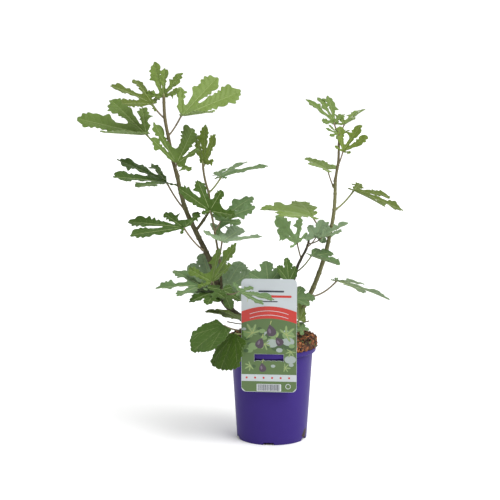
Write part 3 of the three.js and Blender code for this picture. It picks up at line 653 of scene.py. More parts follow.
FOLIAGE = {
    "foliage_left_top": {
        "on": "bough_left", "length": 150, "radius": [3.7, 2.9],
        "leans": [18, 14, 9, 12, 9, 3, 0], "headings": [176],
        "leaves": [
            leaf("deep", 12, (24, -78, 31), (103, 68, 29, 24), "mid", fold=0.55, droop=0,
                 lobes=[(-126, 0.42), (-25, 0.56), (6, 1.07), (60, 0.79), (87, 0.6)]),
            leaf("deep", 36, (70, 153, 36), (149, -177, 0, -16), "mid", fold=0.4, droop=0,
                 lobes=[(-83, 0.49), (-54, 0.83), (-20, 0.96), (55, 0.87), (83, 0.49)]),
            leaf("deep", 76, (49, 38, 51), (129, 9, 2, 23), "light", fold=0.55, droop=0,
                 lobes=[(-83, 0.47), (-65, 0.85), (19, 1), (46, 0.86), (83, 0.47)]),
            leaf("deep", 109, (37, 169, 48), (89, -169, 29, -27), "fresh",
                 lobes=[(-100, 0.45), (-52, 0.87), (0, 0.96), (45, 0.9), (108, 0.3)]),
            leaf("young", 143, (11, 100, 39), (71, 59, 80, 0), "light", fold=0.2,
                 lobes=[(-70, 0.58), (-41, 0.85), (6, 0.79), (25, 1.04), (80, 0.55)]),
        ],
    },
    "foliage_left_outer": spur(
        "bough_left", 278, 1.7, 40, 160,
        leaf("deep", 6, (65, 151, 51), (128, -142, 7, -19), "dark", fold=0.25, droop=0.06,
             lobes=[(-90, 0.51), (-44, 0.82), (-8, 0.9), (30, 0.92), (100, 0.25)]),
    ),
    "foliage_left_low": spur(
        "bough_left", 196, 1.7, 70, 215,
        leaf("deep", 6, (66, -138, 45), (102, 172, 12, -41), "dark", fold=0.33, droop=0.06,
             lobes=[(-121, 0.42), (-25, 0.49), (7, 1.05), (32, 1.03), (90, 0.2)]),
    ),
    "foliage_inner": {
        "on": "bough_inner", "length": 90, "radius": [2.4, 2.1],
        "leans": [4, -4, -16, -10, -4], "headings": [0],
        "leaves": [
            leaf("deep", 34, (39, 21, 49), (99, 54, 21, -9), "grey", fold=0,
                 lobes=[(-108, 0.2), (-51, 0.91), (7, 0.97), (44, 0.7), (100, 0.15)]),
            leaf("broad", 84, (9, 59, 47), (65, 63, 80, -23), "young", fold=0, droop=0,
                 lobes=[(-76, 0.4), (-24, 0.97), (6, 1.17), (37, 0.87), (64, 0.3)]),
        ],
    },
    "foliage_centre": {
        "on": "bough_centre", "length": 92, "radius": [2.3, 1.9],
        "leans": [9, 10, 9, 11], "headings": [182],
        "leaves": [
            leaf("broad", 8, (37, -70, 64), (86, 58, 7, 13), "pale", fold=0.3, droop=0,
                 lobes=[(-108, 0.2), (-49, 0.86), (7, 1.06), (52, 0.75), (98, 0.48)]),
            leaf("broad", 60, (24, 48, 46), (73, -8, 26, 50), "grey", fold=0, droop=0.24,
                 lobes=[(-119, 0.42), (-28, 0.57), (5, 0.99), (28, 1.09), (108, 0.4)]),
            leaf("broad", 88, (16, -114, 54), (80, 130, 68, -17), "deep", fold=0.32, droop=0.06,
                 lobes=[(-114, 0.59), (-41, 0.55), (8, 0.78), (48, 0.92), (100, 0.25)]),
        ],
    },
    "foliage_low_left": {
        "on": "bough_low", "length": 16, "radius": [2.4, 1.9],
        "leans": [30, 10], "headings": [-133],
        "leaves": [
            leaf("deep", 2, (40, -134, 21), (85, -171, 4, -15), "grey", fold=0.2),
            leaf("deep", 10, (42, -94, 24), (91, 100, 43, -36), "mid", fold=0.34, droop=0.04,
                 lobes=[(-83, 0.58), (-59, 0.93), (-21, 0.75), (41, 0.63), (100, 0.3)]),
            leaf("deep", 4, (104, -63, 7), (59, 7, -10, 26), "grey", fold=0.2, droop=0.06,
                 lobes=[(-108, 0.3), (-40, 0.95), (-2, 1.14), (35, 0.55), (113, 0.43)]),
            leaf("shallow", 2, (45, -87, 8), (52, -164, -12, -14), "dark", fold=0),
            leaf("shallow", 4, (39, -68, 10), (47, -58, -37, -6), "dark", fold=0.04),
        ],
    },
    "foliage_low_back": {
        "on": "bough_left", "at": 93, "length": 27, "radius": [2.3, 1.8],
        "leans": [58, 22], "headings": [103],
        "leaves": [
            leaf("shallow", 16, (31, 165, 40), (65, 121, 68, -32), "pale", fold=0.06,
                 lobes=[(-105, 0.62), (-34, 0.88), (5, 0.97), (38, 0.87), (103, 0.62)]),
            leaf("shallow", 20, (13, 56, 24), (61, 43, 58, 26), "pale", fold=0, droop=0.2,
                 lobes=[(-99, 0.6), (-33, 0.97), (-2, 1.02), (25, 0.76), (105, 0.62)]),
        ],
    },
    "foliage_behind_label": {
        "on": "bough_middle", "at": 30, "length": 36, "radius": [2, 1.6],
        "leans": [40, 10], "headings": [-150, -120],
        "leaves": [
            leaf("shallow", 24, (52, -114, 46), (49, 114, 68, -4), "grey",
                 lobes=[(-105, 0.62), (-46, 0.85), (-5, 1), (52, 0.87), (105, 0.62)]),
            leaf("shallow", 28, (54, -49, 46), (47, 126, 80, 14), "dark", fold=0.09, droop=0.08,
                 lobes=[(-105, 0.5), (-48, 0.79), (-4, 1.01), (42, 0.91), (105, 0.5)]),
        ],
    },
    "foliage_base_left": {
        "on": "trunk", "at": [-13, -4, 207], "length": 48, "radius": [2.4, 1.8],
        "leans": [76, 66], "headings": [-136],
        "leaves": [
            leaf("shallow", 36, (34, -149, 36), (61, -173, 21, -1), "fresh",
                 lobes=[(-105, 0.62), (-41, 0.94), (-1, 1.07), (38, 0.74), (109, 0.57)]),
            leaf("oval", 32, (92, -128, 13), (84, -150, -28, -19), "dark", droop=0.08,
                 lobes=[(-66, 0.3), (-28, 0.75), (2, 0.93), (27, 0.79), (66, 0.27)]),
            leaf("oval", 36, (79, -114, 4), (95, -140, -62, -8), "deep", fold=0, droop=0.13,
                 lobes=[(-50, 0.33), (-29, 0.75), (-5, 0.72), (28, 0.67), (48, 0.37)]),
        ],
    },
    "foliage_base_right": {
        "on": "trunk", "at": [3, -6, 209], "length": 40, "radius": [2, 1.6],
        "leans": [72, 40], "headings": [-45],
        "leaves": [
            leaf("shallow", 30, (63, -48, 61), (41, 12, 3, 31), "grey", fold=0.24),
            leaf("shallow", 24, (44, -20, -5), (26, 157, 36, -17), "grey", fold=0.04),
            leaf("shallow", 28, (38, -29, 21), (39, 161, 80, -3), "fresh", fold=0.17, droop=0,
                 lobes=[(-91, 0.61), (-56, 0.84), (-9, 1.03), (50, 0.86), (105, 0.62)]),
        ],
    },
    "foliage_back": {
        "on": "trunk", "at": [-5, 6, 209], "length": 46, "radius": [2.4, 1.6],
        "leans": [58, 24], "headings": [92],
        "leaves": fan_of_leaves(4, "shallow", 14, 42, (50, 130)),
    },
    "foliage_right_low": spur(
        "bough_right", 89, 1.6, 80, 10,
        leaf("deep", 6, (57, 8, 31), (113, 3, -15, -15), "pale", bow=12, fold=0.1, droop=0.1,
             lobes=[(-108, 0.2), (-46, 0.56), (1, 0.94), (47, 0.84), (108, 0.2)]),
    ),
    "foliage_right_reach": spur(
        "bough_right", 208, 1.6, 36, 160,
        leaf("shallow", 6, (48, 159, 51), (97, 173, 13, -7), "light", fold=0.16,
             lobes=[(-86, 0.3), (-64, 0.84), (1, 1.05), (48, 0.84), (102, 0.3)]),
    ),
    "foliage_middle": {
        "on": "bough_middle", "length": 74, "radius": [3.2, 2.1],
        "leans": [14, 18, 34, 20, 12], "headings": [0],
        "leaves": [
            leaf("shallow", 6, (64, -58, 36), (54, -20, -16, -1), "grey", fold=0.37, droop=0,
                 lobes=[(-105, 0.3), (-38, 0.93), (4, 1.04), (49, 0.82), (87, 0.56)]),
            # this leaf's tint is painted light, standing in for light shining through the blade from behind
            leaf("deep", 34, (31, 133, 69), (64, 122, 45, -50), "painted_backlight", fold=0.3, droop=0,
                 lobes=[(-87, 0.44), (-38, 0.79), (10, 1.16), (25, 0.8), (100, 0.25)]),
            leaf("shallow", 58, (36, -52, 40), (35, 43, 72, 31), "pale", fold=0.2, droop=0.06,
                 lobes=[(-105, 0.62), (-49, 0.93), (-8, 1), (46, 0.77), (105, 0.62)]),
            leaf("deep", 66, (45, -54, 20), (53, 2, 37, 25), "pale", fold=0.35,
                 lobes=[(-108, 0.34), (-39, 0.92), (-3, 1.08), (41, 0.69), (108, 0.34)]),
        ],
    },
    "foliage_right_inner": spur(
        "bough_right", 304, 1.5, 40, 150,
        leaf("shallow", 6, (36, 133, 64), (52, 159, 20, -4), "light", droop=0,
             lobes=[(-100, 0.65), (-46, 0.78), (-8, 1.04), (50, 0.86), (105, 0.62)]),
    ),
    "foliage_right_outer": spur(
        "bough_right", 262, 1.6, 50, 28,
        leaf("deep", 6, (54, 34, 38), (104, -19, -21, 0), "fresh", fold=0.2, droop=0.06,
             lobes=[(-108, 0.2), (-38, 0.92), (13, 0.96), (43, 0.78), (93, 0.48)]),
    ),
    "foliage_right_top": {
        "on": "bough_right", "length": 88, "radius": [2.8, 2.1],
        "leans": [8, 10, 2, 0, 2], "headings": [0],
        "leaves": [
            leaf("young", 24, (32, -24, 70), (58, 22, 63, 50), "young", fold=0.45, droop=0,
                 lobes=[(-80, 0.3), (-40, 0.96), (-9, 1.01), (31, 0.81), (80, 0.3)]),
            leaf("young", 84, (28, 129, 58), (73, 151, 56, -6), "mid",
                 lobes=[(-72, 0.55), (-35, 0.95), (-7, 0.81), (34, 1), (80, 0.55)]),
            leaf("young", 86, (24, 48, 50), (55, 53, 33, -15), "light", fold=0.24),
            leaf("young", 70, (19, -124, 66), (26, -148, 29, -48), "mid", fold=0),
            leaf("young", 70, (19, 44, 65), (17, 9, 29, 14), "young"),
        ],
    },
}

SIDES_OF_CROWN = {
    "left": ["foliage_left_top", "foliage_left_outer", "foliage_left_low", "foliage_inner"],
    "centre": ["foliage_centre", "foliage_low_left", "foliage_low_back", "foliage_behind_label",
               "foliage_base_left", "foliage_base_right", "foliage_back"],
    "right": ["foliage_middle", "foliage_right_low", "foliage_right_reach", "foliage_right_inner",
              "foliage_right_outer", "foliage_right_top"],
}

# Stalks of dropped leaves: the limb, the distance along it, (length, heading, rise) and the bow.
BARE_STALKS = (
    ("bough_left", 12, (61, 200, 10), 3),
    ("bough_right", 10, (58, -18, 12), 5),
)
BARE_SIZE = 20  # size of the leaf that such a stalk is thick enough for
RIPE_SHARE = 0.7  # share of the leaf stalks that have turned from green


def stalk_ends(path, at, pose):
    """A stalk's foot on a limb's path and its joint, which lies its length away by heading and rise."""
    foot = place_on(path, at)
    length, heading, rise = pose
    return {"foot": foot, "joint": foot + pointing(heading, rise) * length}


def grown():
    """The paths of the limbs and of the masses' stems, each from its place on the one that carries it, and
    the leaves with their feet and joints in space."""
    paths = {}

    def path_of(spec):
        if isinstance(spec.get("at"), list):
            return limb_path(spec, np.array(spec["at"], float))
        host = paths[spec["on"]]
        return limb_path(spec, place_on(host, spec["at"]) if "at" in spec else beyond(host, GAP))

    for name, spec in LIMBS.items():
        paths[name] = path_of(spec)
        if spec["on"] == "trunk":
            paths[name][0] += unit(paths[name][1] - paths[name][0]) * GAP
    stems, leaves = {}, {}
    for name, spec in FOLIAGE.items():
        stems[name] = path_of(spec)
        leaves[name] = [
            {**one, **stalk_ends(stems[name], one["at"], one["stalk"]),
             "stalk_finish": int(chance(one["seed"] + 0.8) < RIPE_SHARE)}
            for one in spec["leaves"]
        ]
    return paths, stems, leaves


# ---- noise ----
def lumps(points, size, seed):
    """Smooth noise from -1 to 1: repeatable values at the corners of cubes of that size, blended by
    smoothstep weights."""
    spot = points / size + 100
    cell = np.floor(spot)
    share = smoothstep(0, 1, spot - cell)
    total = 0
    for corner in np.ndindex(2, 2, 2):
        value = chance(((cell + corner) * [1.17, 7.31, 3.53]).sum(-1) * 0.137 + seed)
        total = total + value * np.prod(np.where(corner, share, 1 - share), -1)
    return total * 2 - 1


# ---- bark ----
RING_WIDTH = 1.7  # half-width of the ring where a leaf or bough stood
LONG_INTERNODE, SHORT_INTERNODE = 31, 22  # between the rings of the two tall boughs, and of the others
STUMP = {"sides": 40, "rows": 26, "over": 5, "lump": 4.5}  # over is how far it stands past the solid's height
SINK = {"bough": 14, "shoot": 3}  # how far a limb's tube starts inside what carries it
LIMB_SIDES, SHOOT_SIDES = 18, 12
SHOOT_RELIEF = 0.16  # depth of the rings and ridges of a shoot
SHOOT_SPACING = 2.4  # between the rings of its mesh
LONG_SHOOT = 60  # length from which a mass's stem has turned from green


def bark_relief(places, seed, depth):
    """Rings where leaves or boughs stood, and fine uneven ridges along the limb: a narrow bell at each
    place, plus waves round the limb that drift along it, plus a slow waver of its thickness and pocks."""
    def relief(reach, angle):
        rings = sum(np.exp(-(((reach - place) / RING_WIDTH) ** 2)) for place in places)
        ridges = 0.35 * np.sin(angle * 5 + reach * 0.11 + seed) + 0.25 * np.sin(angle * 9 - reach * 0.17)
        waver = 0.5 * np.sin(reach * 0.21 + seed * 2) + 0.4 * np.sin(reach * 0.57 + 2 * angle)
        pocks = np.sin(angle * 7 + reach * 1.9 + seed) * np.sin(reach * 1.1 - angle * 3)
        return depth * (1.8 * rings + 0.5 * (ridges + waver) + 0.3 * pocks)
    return relief


def limb_tube(path, radii, relief, spacing, sides, finish=0, collar=0.35):
    """A limb's tube: the smooth curve through its path, tapering evenly, flared where it leaves its host."""
    per_span = max(2, round(np.linalg.norm(path[1] - path[0]) / spacing))
    curve = smooth_path(path, per_span)
    reach = distances(curve)
    taper = np.interp(reach, [0, reach[-1]], radii) * (1 + collar * np.exp(-reach / 5))
    return tube(curve, taper, sides, finish, relief)


def stump_shape(depth):
    """The trunk: a radius that falls from the flare to the waist by e^(-5.5 t), rounded off over the top
    fifth, waved round the foot by five roots and roughened by lumps above the compost."""
    flare, waist, height = TRUNK["flare"], TRUNK["waist"] * 0.9, TRUNK["height"] + STUMP["over"]
    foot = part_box("trunk")[0][2] / MM
    t = np.linspace(0, 1, STUMP["rows"])
    radius = waist + (flare - waist) * np.exp(-t * 5.5)
    round_top = np.sqrt(1 - ((t - 0.8) / 0.2).clip(0, 1) ** 2)
    side = np.stack([radius * round_top, t * height], -1)
    profile = np.vstack([[0, 0], [flare * 0.6, 0], side, [0, height]])

    def rooted(radius, height, angle):
        roots = 0.1 * np.cos(5 * angle + 1) * np.exp(-height / 5)
        return radius * (1 + roots + 0.05 * np.cos(3 * angle + height * 0.3))

    points, triangles, finish = turned(profile, STUMP["sides"], rooted)
    points = points + [TRUNK["x"], TRUNK["y"], foot]
    rough = lumps(points, STUMP["lump"], 3)[:, None] * normals_of(points, triangles) * depth * 1.6
    rough[points[:, 2] < foot + 0.5] = 0
    return points + rough, triangles, finish


def bark_shape(paths):
    """The trunk's flared stump and the boughs, each a closed tube sunk into what carries it. The slender
    right bough has the paler bark."""
    settings = bpy.context.scene.fig_bark
    depth = settings.relief / MM
    shapes = [stump_shape(depth)]
    for seed, (name, spec) in enumerate(LIMBS.items()):
        on_trunk = spec["on"] == "trunk"
        path = sunk(paths[name], SINK["bough"]) if on_trunk else paths[name]
        internode = LONG_INTERNODE if name in ("bough_left", "bough_right") else SHORT_INTERNODE
        places = np.arange(24 + 5 * chance(seed), spec["length"] - 6, internode) + jitter(seed, 3)
        relief = bark_relief(places, seed, depth)
        finish = int(name == "bough_right")
        collar = 0.1 if on_trunk else 0.5
        spacing = settings.ring_spacing / MM
        shapes.append(limb_tube(path, spec["radius"], relief, spacing, LIMB_SIDES, finish, collar))
    return joined(shapes)


# ---- shoots, stalks and buds ----
def shoot_shapes(stems):
    """The masses' stems, with a ring under each leaf: green, turned where they are long, and woody on the
    short middle bough."""
    shapes = []
    for seed, (name, spec) in enumerate(FOLIAGE.items()):
        relief = bark_relief([one["at"] for one in spec["leaves"]], seed + 0.5, SHOOT_RELIEF)
        finish = 2 if name == "foliage_middle" else int(spec["length"] > LONG_SHOOT)
        path = stems[name] if "at" in spec else sunk(stems[name], SINK["shoot"])
        shapes.append(limb_tube(path, spec["radius"], relief, SHOOT_SPACING, SHOOT_SIDES, finish))
    return joined(shapes)


def stalk_shapes(paths, leaves):
    """The leaves' stalks, and those of dropped leaves that are left on their limbs."""
    shapes = [stalk(one) for mass in leaves.values() for one in mass]
    for limb, at, pose, bow in BARE_STALKS:
        ends = stalk_ends(paths[limb], at, pose)
        shapes.append(stalk({**ends, "bow": bow, "size": BARE_SIZE, "stalk_finish": 1}))
    return joined(shapes)


def bud(foot, way, length, radius, finish):
    """A short tube along a direction, whose radius swells and then narrows to a point."""
    swelling = np.array([0.75, 1, 1.06, 1, 0.82, 0.55, 0.3, 0.12])
    path = foot + np.linspace(0, 1, len(swelling))[:, None] * way * length
    return tube(path, swelling * radius, STALK_SIDES, finish)


def bud_shapes(stems, leaves):
    """A pointed bud on the tip of each shoot with several leaves, and a small one above each leaf's foot,
    which leans out to the leaf's side."""
    shapes = []
    for name, spec in FOLIAGE.items():
        stem = stems[name]
        tip = unit(stem[-1] - stem[-2])
        if len(leaves[name]) > 1:
            shapes.append(bud(stem[-1], tip, 9, spec["radius"][1] * 0.95, 0))
        for one in leaves[name]:
            before, ahead = place_on(stem, max(one["at"] - 2, 0)), place_on(stem, one["at"] + 2)
            up = unit(ahead - before)
            out = unit(one["joint"] - one["foot"])
            side = unit(out - up * (out @ up))
            radius = np.interp(one["at"], [0, spec["length"]], spec["radius"])
            foot = one["foot"] + side * radius * 0.7 + up * 2.2
            shapes.append(bud(foot, unit(up * 1.5 + side), 4.2, 1.15, 1))
    return joined(shapes)


# ---- pot ----
POT = {"height": 180.0, "rim": 85.0, "lip": 9.0, "neck": 78.5, "foot": 67.5, "wall": 1.5}
NOTCH = {"count": 5, "width": 22.0, "height": 5.0, "depth": 12.0, "first": -96.0}
FLOOR = 2.0  # height of the pot's floor inside
BEAD = 1.3  # radius of the roll at the top of the lip


def pot_profile():
    """The wall's section as (radius, height) points: out along the underside, up the outer wall, over the
    rounded lip and down the inner wall to the middle of the floor."""
    rim, neck, foot, height = POT["rim"], POT["neck"], POT["foot"], POT["height"]
    shoulder = height - POT["lip"]
    inside = foot - POT["wall"]
    base = [[0, 0.4], [foot * 0.5, 0.4], [foot - 6, 0.4], [foot - 5, 0], [foot - 0.8, 0]]
    rise = np.linspace(0, 1, 24)
    outer = np.stack([foot + (neck - foot) * rise, 1 + (shoulder - 2) * rise], -1)
    under = [[neck + 1, shoulder - 0.4], [rim - 1.6, shoulder + 0.1]]
    face = [[rim - 0.5, shoulder + 1.2], [rim - 0.1, height - 2.2]]
    turn = np.radians(np.linspace(-80, 90, 9))[2:]
    roll = np.stack([rim - BEAD + 1.25 * np.cos(turn), height - BEAD + BEAD * np.sin(turn)], -1)
    inner = [[rim - 2.6, height], [rim - 3.1, height - 0.6], [rim - 3.2, shoulder + 2],
             [neck - POT["wall"], shoulder - 3], [inside, FLOOR + 1.5], [inside - 2, FLOOR],
             [foot * 0.5, FLOOR], [0, FLOOR]]
    return np.vstack([base, outer, under, face, roll, inner])


def notch_cutter():
    """The five drainage notches as prisms: each outline of (across, height) points is carried inwards from
    outside the foot, then turned to its place round the pot."""
    half, top = NOTCH["width"] / 2, NOTCH["height"]
    outline = np.array([
        [-half, -1], [half, -1], [half - 0.9, top - 1.6],
        [half - 2.6, top], [2.6 - half, top], [0.9 - half, top - 1.6],
    ])
    count = len(outline)
    near = -POT["foot"] - 2
    rings = np.vstack([np.insert(outline, 1, depth, axis=1) for depth in (near, near + NOTCH["depth"])])
    fan = np.stack([np.zeros(count - 2, int), np.arange(1, count - 1), np.arange(2, count)], -1)
    triangles = np.vstack([grid_triangles(2, count, closed=True), fan, fan[:, ::-1] + count])
    prisms = []
    for i in range(NOTCH["count"]):
        turn = math.radians(NOTCH["first"] + 90 + i * 360 / NOTCH["count"])
        c, s = math.cos(turn), math.sin(turn)
        prisms.append(surface(rings @ np.array([[c, s, 0], [-s, c, 0], [0, 0, 1]]), triangles))
    return joined(prisms)


# ---- compost ----
COMPOST = {"top": 199.0, "radius": 86.5, "seat": 21.0}
LABEL = {
    "width": 104.0, "height": 215.0, "sheet": 0.8, "corner": 9.0, "yaw": -5.0, "x": -7.0, "y": -81.9,
    "bottom": 108.0,
}
SLOT = {"width": 55.0, "height": 12.0, "teeth": 5, "tooth": 2.2}
BALL_SIDES = 260
LUMPS = ((8, 1, 1), (3.6, 2, 0.7), (1.7, 5, 0.45))  # (size, seed, weight)
CHIP_CLEARANCE = 0.8  # from a chip's corners to the label's middle plane
CHIP_SHARES = (0.4, 0.72, 0.9)  # chances up to which a chip has the first, second and third finish


def label_frame():
    """The label's middle at its foot, its rightward direction and the way that its face looks."""
    turn = math.radians(LABEL["yaw"])
    right = np.array([math.cos(turn), math.sin(turn), 0])
    out = np.array([math.sin(turn), -math.cos(turn), 0])
    return np.array([LABEL["x"], LABEL["y"], LABEL["bottom"]]), right, out


def behind_label(points, clearance):
    """Points that lie in front of the label's plane, less the clearance, moved straight back onto it."""
    middle, _, out = label_frame()
    past = np.maximum((points - middle) @ out + clearance, 0)
    return points - past[:, None] * out


def compost_profile():
    """Section of the root ball as (radius, height) points, close together where it stands over the rim."""
    shoulder = POT["height"] - POT["lip"]
    wall = POT["wall"] + GAP
    ball, top = COMPOST["radius"], COMPOST["top"]
    hidden = [[0, 5.3], [POT["foot"] - wall - 1, 5.3], [POT["neck"] - wall, shoulder - 3],
              [POT["rim"] - 3.5, shoulder + 2]]
    knots = np.array([
        [POT["rim"] - 3.1, POT["height"] + GAP],
        [ball - 1.5, POT["height"] + 1.5],
        [ball, POT["height"] + 8],
        [ball - 2.5, top - 3],
        [ball - 9, top - 0.5],
        [COMPOST["seat"], top],
        [0.8, top],
    ])
    shown = place_on(knots, np.linspace(0, distances(knots)[-1], 72))
    return np.vstack([hidden, shown, [[0, top]]])


def compost_shape():
    """The root ball, its shown part moved along its normals by three sizes of lumps, which fade out round
    the trunk and at the rim."""
    points, triangles, finish = turned(compost_profile(), BALL_SIDES)
    depth = bpy.context.scene.fig_compost.lump_depth / MM
    height = sum(weight * lumps(points, size, seed) for size, seed, weight in LUMPS)
    shown = smoothstep(POT["height"] + 0.5, POT["height"] + 3, points[:, 2])
    away = smoothstep(14, 24, np.hypot(points[:, 0] - TRUNK["x"], points[:, 1] - TRUNK["y"]))
    moved = points + normals_of(points, triangles) * (height * depth * shown * away)[:, None]
    return behind_label(moved, 1.2), triangles, finish


def chip_shapes():
    """Shards of bark: boxes with shaken corners, laid about flat on the root ball's top and sides, turned
    by chance in that plane and tipped a little. Their finishes are dealt out by chance."""
    settings = bpy.context.scene.fig_compost
    count = settings.chips
    seed = np.arange(count) * 1.37 + 11
    on_side = chance(seed) < 0.45
    angle = chance(seed + 0.21) * 2 * np.pi
    ball, top = COMPOST["radius"] - 2, COMPOST["top"]
    on_top_radius = 16 + (ball - 20) * np.sqrt(chance(seed + 0.5))
    radius = np.where(on_side, ball + jitter(seed + 0.4, 1.2), on_top_radius)
    low, high = POT["height"] + 3, top - 3
    height = np.where(on_side, low + (high - low) * chance(seed + 0.6), top + jitter(seed + 0.7, 0.9))
    outwards = np.stack([np.cos(angle), np.sin(angle), angle * 0], -1)
    place = outwards * radius[:, None] + UP * height[:, None]
    shake = np.stack([jitter(seed + k, 0.55) for k in (1.1, 1.2, 1.3)], -1)
    up = unit(np.where(on_side[:, None], outwards, UP) + shake)
    guide = np.stack([jitter(seed + k, 1) for k in (2.1, 2.2, 2.3)], -1)
    long = unit(np.cross(up, guide))
    axes = np.stack([long, np.cross(up, long), up], 1)
    length = settings.chip_length / MM * (0.35 + 0.9 * chance(seed + 3.1) ** 1.6)
    width = length * (0.3 + 0.3 * chance(seed + 3.2))
    size = np.stack([length, width, 0.7 + 1.3 * chance(seed + 3.3)], -1)
    box = np.array(list(np.ndindex(2, 2, 2))) - 0.5
    shaken = box[None] * (1 + jitter(seed[:, None, None] + np.arange(24).reshape(1, 8, 3) * 0.77, 0.35))
    points = place[:, None] + shaken * size[:, None] @ axes
    sides = np.array([[0, 1, 3], [0, 3, 2], [4, 6, 7], [4, 7, 5], [0, 4, 5], [0, 5, 1], [2, 3, 7], [2, 7, 6],
                      [0, 2, 6], [0, 6, 4], [1, 5, 7], [1, 7, 3]])
    triangles = (sides[None] + np.arange(count)[:, None, None] * 8).reshape(-1, 3)
    middle, _, out = label_frame()
    kept = ((points - middle) @ out < -CHIP_CLEARANCE).all(1)
    whole = np.repeat(kept, len(sides))
    finish = np.repeat(np.digitize(chance(seed + 4.4), CHIP_SHARES), len(sides))
    return points.reshape(-1, 3), triangles[whole], finish[whole]


# ---- label ----
def flat_plate(outlines, low, high, finish=0):
    """A flat shape, its outer outline first and then its holes, as a closed plate between two heights over
    the card's middle plane. Points are (across, up) on the card."""
    loops = []
    for k, outline in enumerate(outlines):
        outline = np.asarray(outline, float)
        x, y = outline.T
        turn = (x * np.roll(y, -1) - y * np.roll(x, -1)).sum()
        loops.append(outline if (turn > 0) == (k == 0) else outline[::-1])
    flat = np.vstack(loops)
    fill = np.array(tessellate_polygon([[Vector((x, y, 0)) for x, y in loop] for loop in loops]))
    a, b, c = flat[fill[:, 0]], flat[fill[:, 1]], flat[fill[:, 2]]
    inwards = (b[:, 0] - a[:, 0]) * (c[:, 1] - a[:, 1]) - (b[:, 1] - a[:, 1]) * (c[:, 0] - a[:, 0]) < 0
    fill[inwards] = fill[inwards][:, ::-1]
    count = len(flat)
    rims, start = [], 0
    for loop in loops:
        here = np.arange(len(loop)) + start
        after = np.roll(here, -1)
        rims.append(np.stack([here, after, after + count], -1))
        rims.append(np.stack([here, after + count, here + count], -1))
        start += len(loop)
    middle, right, out = label_frame()
    sheet = middle + flat[:, :1] * right + flat[:, 1:] * UP
    points = np.vstack([sheet + out * low, sheet + out * high])
    return surface(points, np.vstack([fill[:, ::-1], fill + count, *rims]), finish)


def rounded(left, low, right, high, corner, spans=6):
    """Outline of a rectangle with quarter-circle corners."""
    turn = np.linspace(0, np.pi / 2, spans + 1)
    arc = np.stack([np.cos(turn), np.sin(turn)], -1) * corner
    quarter = np.array([[0, 1], [-1, 0]])
    corners = []
    for x, y in ((right - corner, high - corner), (left + corner, high - corner),
                 (left + corner, low + corner), (right - corner, low + corner)):
        corners.append(arc + [x, y])
        arc = arc @ quarter
    return np.vstack(corners)


def slot_outline(margin=0):
    """The slot that hooks over the rim: a rectangle whose lower edge carries a row of short teeth."""
    top = POT["height"] + GAP - LABEL["bottom"] + margin
    floor = top - SLOT["height"] - 2 * margin
    tooth, half = SLOT["tooth"], SLOT["width"] / 2 + margin
    pitch = (SLOT["width"] - 6) / SLOT["teeth"]
    outline = [(-half, floor - tooth)]
    for i in range(SLOT["teeth"]):
        start = -SLOT["width"] / 2 + 3 + pitch * i
        outline += [(start + pitch * 0.15, floor), (start + pitch * 0.7, floor),
                    (start + pitch * 0.85, floor - tooth * 0.5)]
    return outline + [(half - 3, floor), (half, floor - tooth), (half, top), (-half, top)]


def ellipse(x, y, across, up, sides=20):
    """Outline of an ellipse round (x, y)."""
    turn = np.arange(sides) * 2 * np.pi / sides
    return np.stack([x + across * np.cos(turn), y + up * np.sin(turn)], -1)


def turned_flat(outline, x, y, size, turn):
    """An outline scaled, turned by degrees and moved to (x, y)."""
    c, s = math.cos(math.radians(turn)), math.sin(math.radians(turn))
    return np.asarray(outline) @ np.array([[c, s], [-s, c]]) * size + [x, y]


def fig_outline():
    """A fig seen from the side: x = sin t (0.8 - 0.32 cos t), y = cos t, with a short neck on top."""
    t = np.linspace(0, 2 * np.pi, 28, endpoint=False)
    return np.stack([np.sin(t) * (0.8 - 0.32 * np.cos(t)), np.cos(t) + 0.25 * np.exp(-((t / 0.3) ** 2))], -1)


def lobed_outline():
    """A lobed leaf round its stalk: r = (1 - 0.3 |t| / 2.4) (0.62 + 0.38 cos 7.2 t), with t = 0 up."""
    t = np.linspace(-2.4, 2.4, 56)
    reach = (1 - 0.3 * np.abs(t) / 2.4) * (0.62 + 0.38 * np.cos(7.2 * t))
    return np.vstack([np.stack([np.sin(t) * reach, np.cos(t) * reach], -1), [[0, -0.12]]])


def stroke(start, end, width):
    """Outline of a straight stroke that narrows to half its width."""
    start, end = np.array(start, float), np.array(end, float)
    way = (end - start) / np.linalg.norm(end - start)
    side = np.array([-way[1], way[0]]) * width / 2
    return [start + side, start - side, end - side / 2, end + side / 2]


def label_card_shape():
    """The card: a rounded rectangle with the slot cut out."""
    half, sheet = LABEL["width"] / 2, LABEL["sheet"] / 2
    card = rounded(-half, 0, half, LABEL["height"], LABEL["corner"])
    return flat_plate([card, slot_outline()], -sheet, sheet)


# Base colours of the inks, in the order of the label's materials.
INKS = {
    "pale": (0.47, 0.51, 0.53), "red": (0.48, 0.022, 0.012), "green": (0.075, 0.135, 0.035),
    "light": (0.17, 0.27, 0.1), "deep": (0.035, 0.08, 0.02), "purple": (0.055, 0.035, 0.055),
    "bloom": (0.15, 0.11, 0.16), "white": (0.55, 0.58, 0.6), "ink": (0.03, 0.035, 0.05),
    "stem": (0.36, 0.4, 0.14), "mist": (0.3, 0.36, 0.33),
}
INK = {name: number for number, name in enumerate(INKS)}
LAYER = 0.05  # height of one layer of print over the one below it
PRINT_PATCHES = 60  # patches of colour behind the picture's leaves
PRINT_BARS = 30  # upright bars in the pale field at the foot
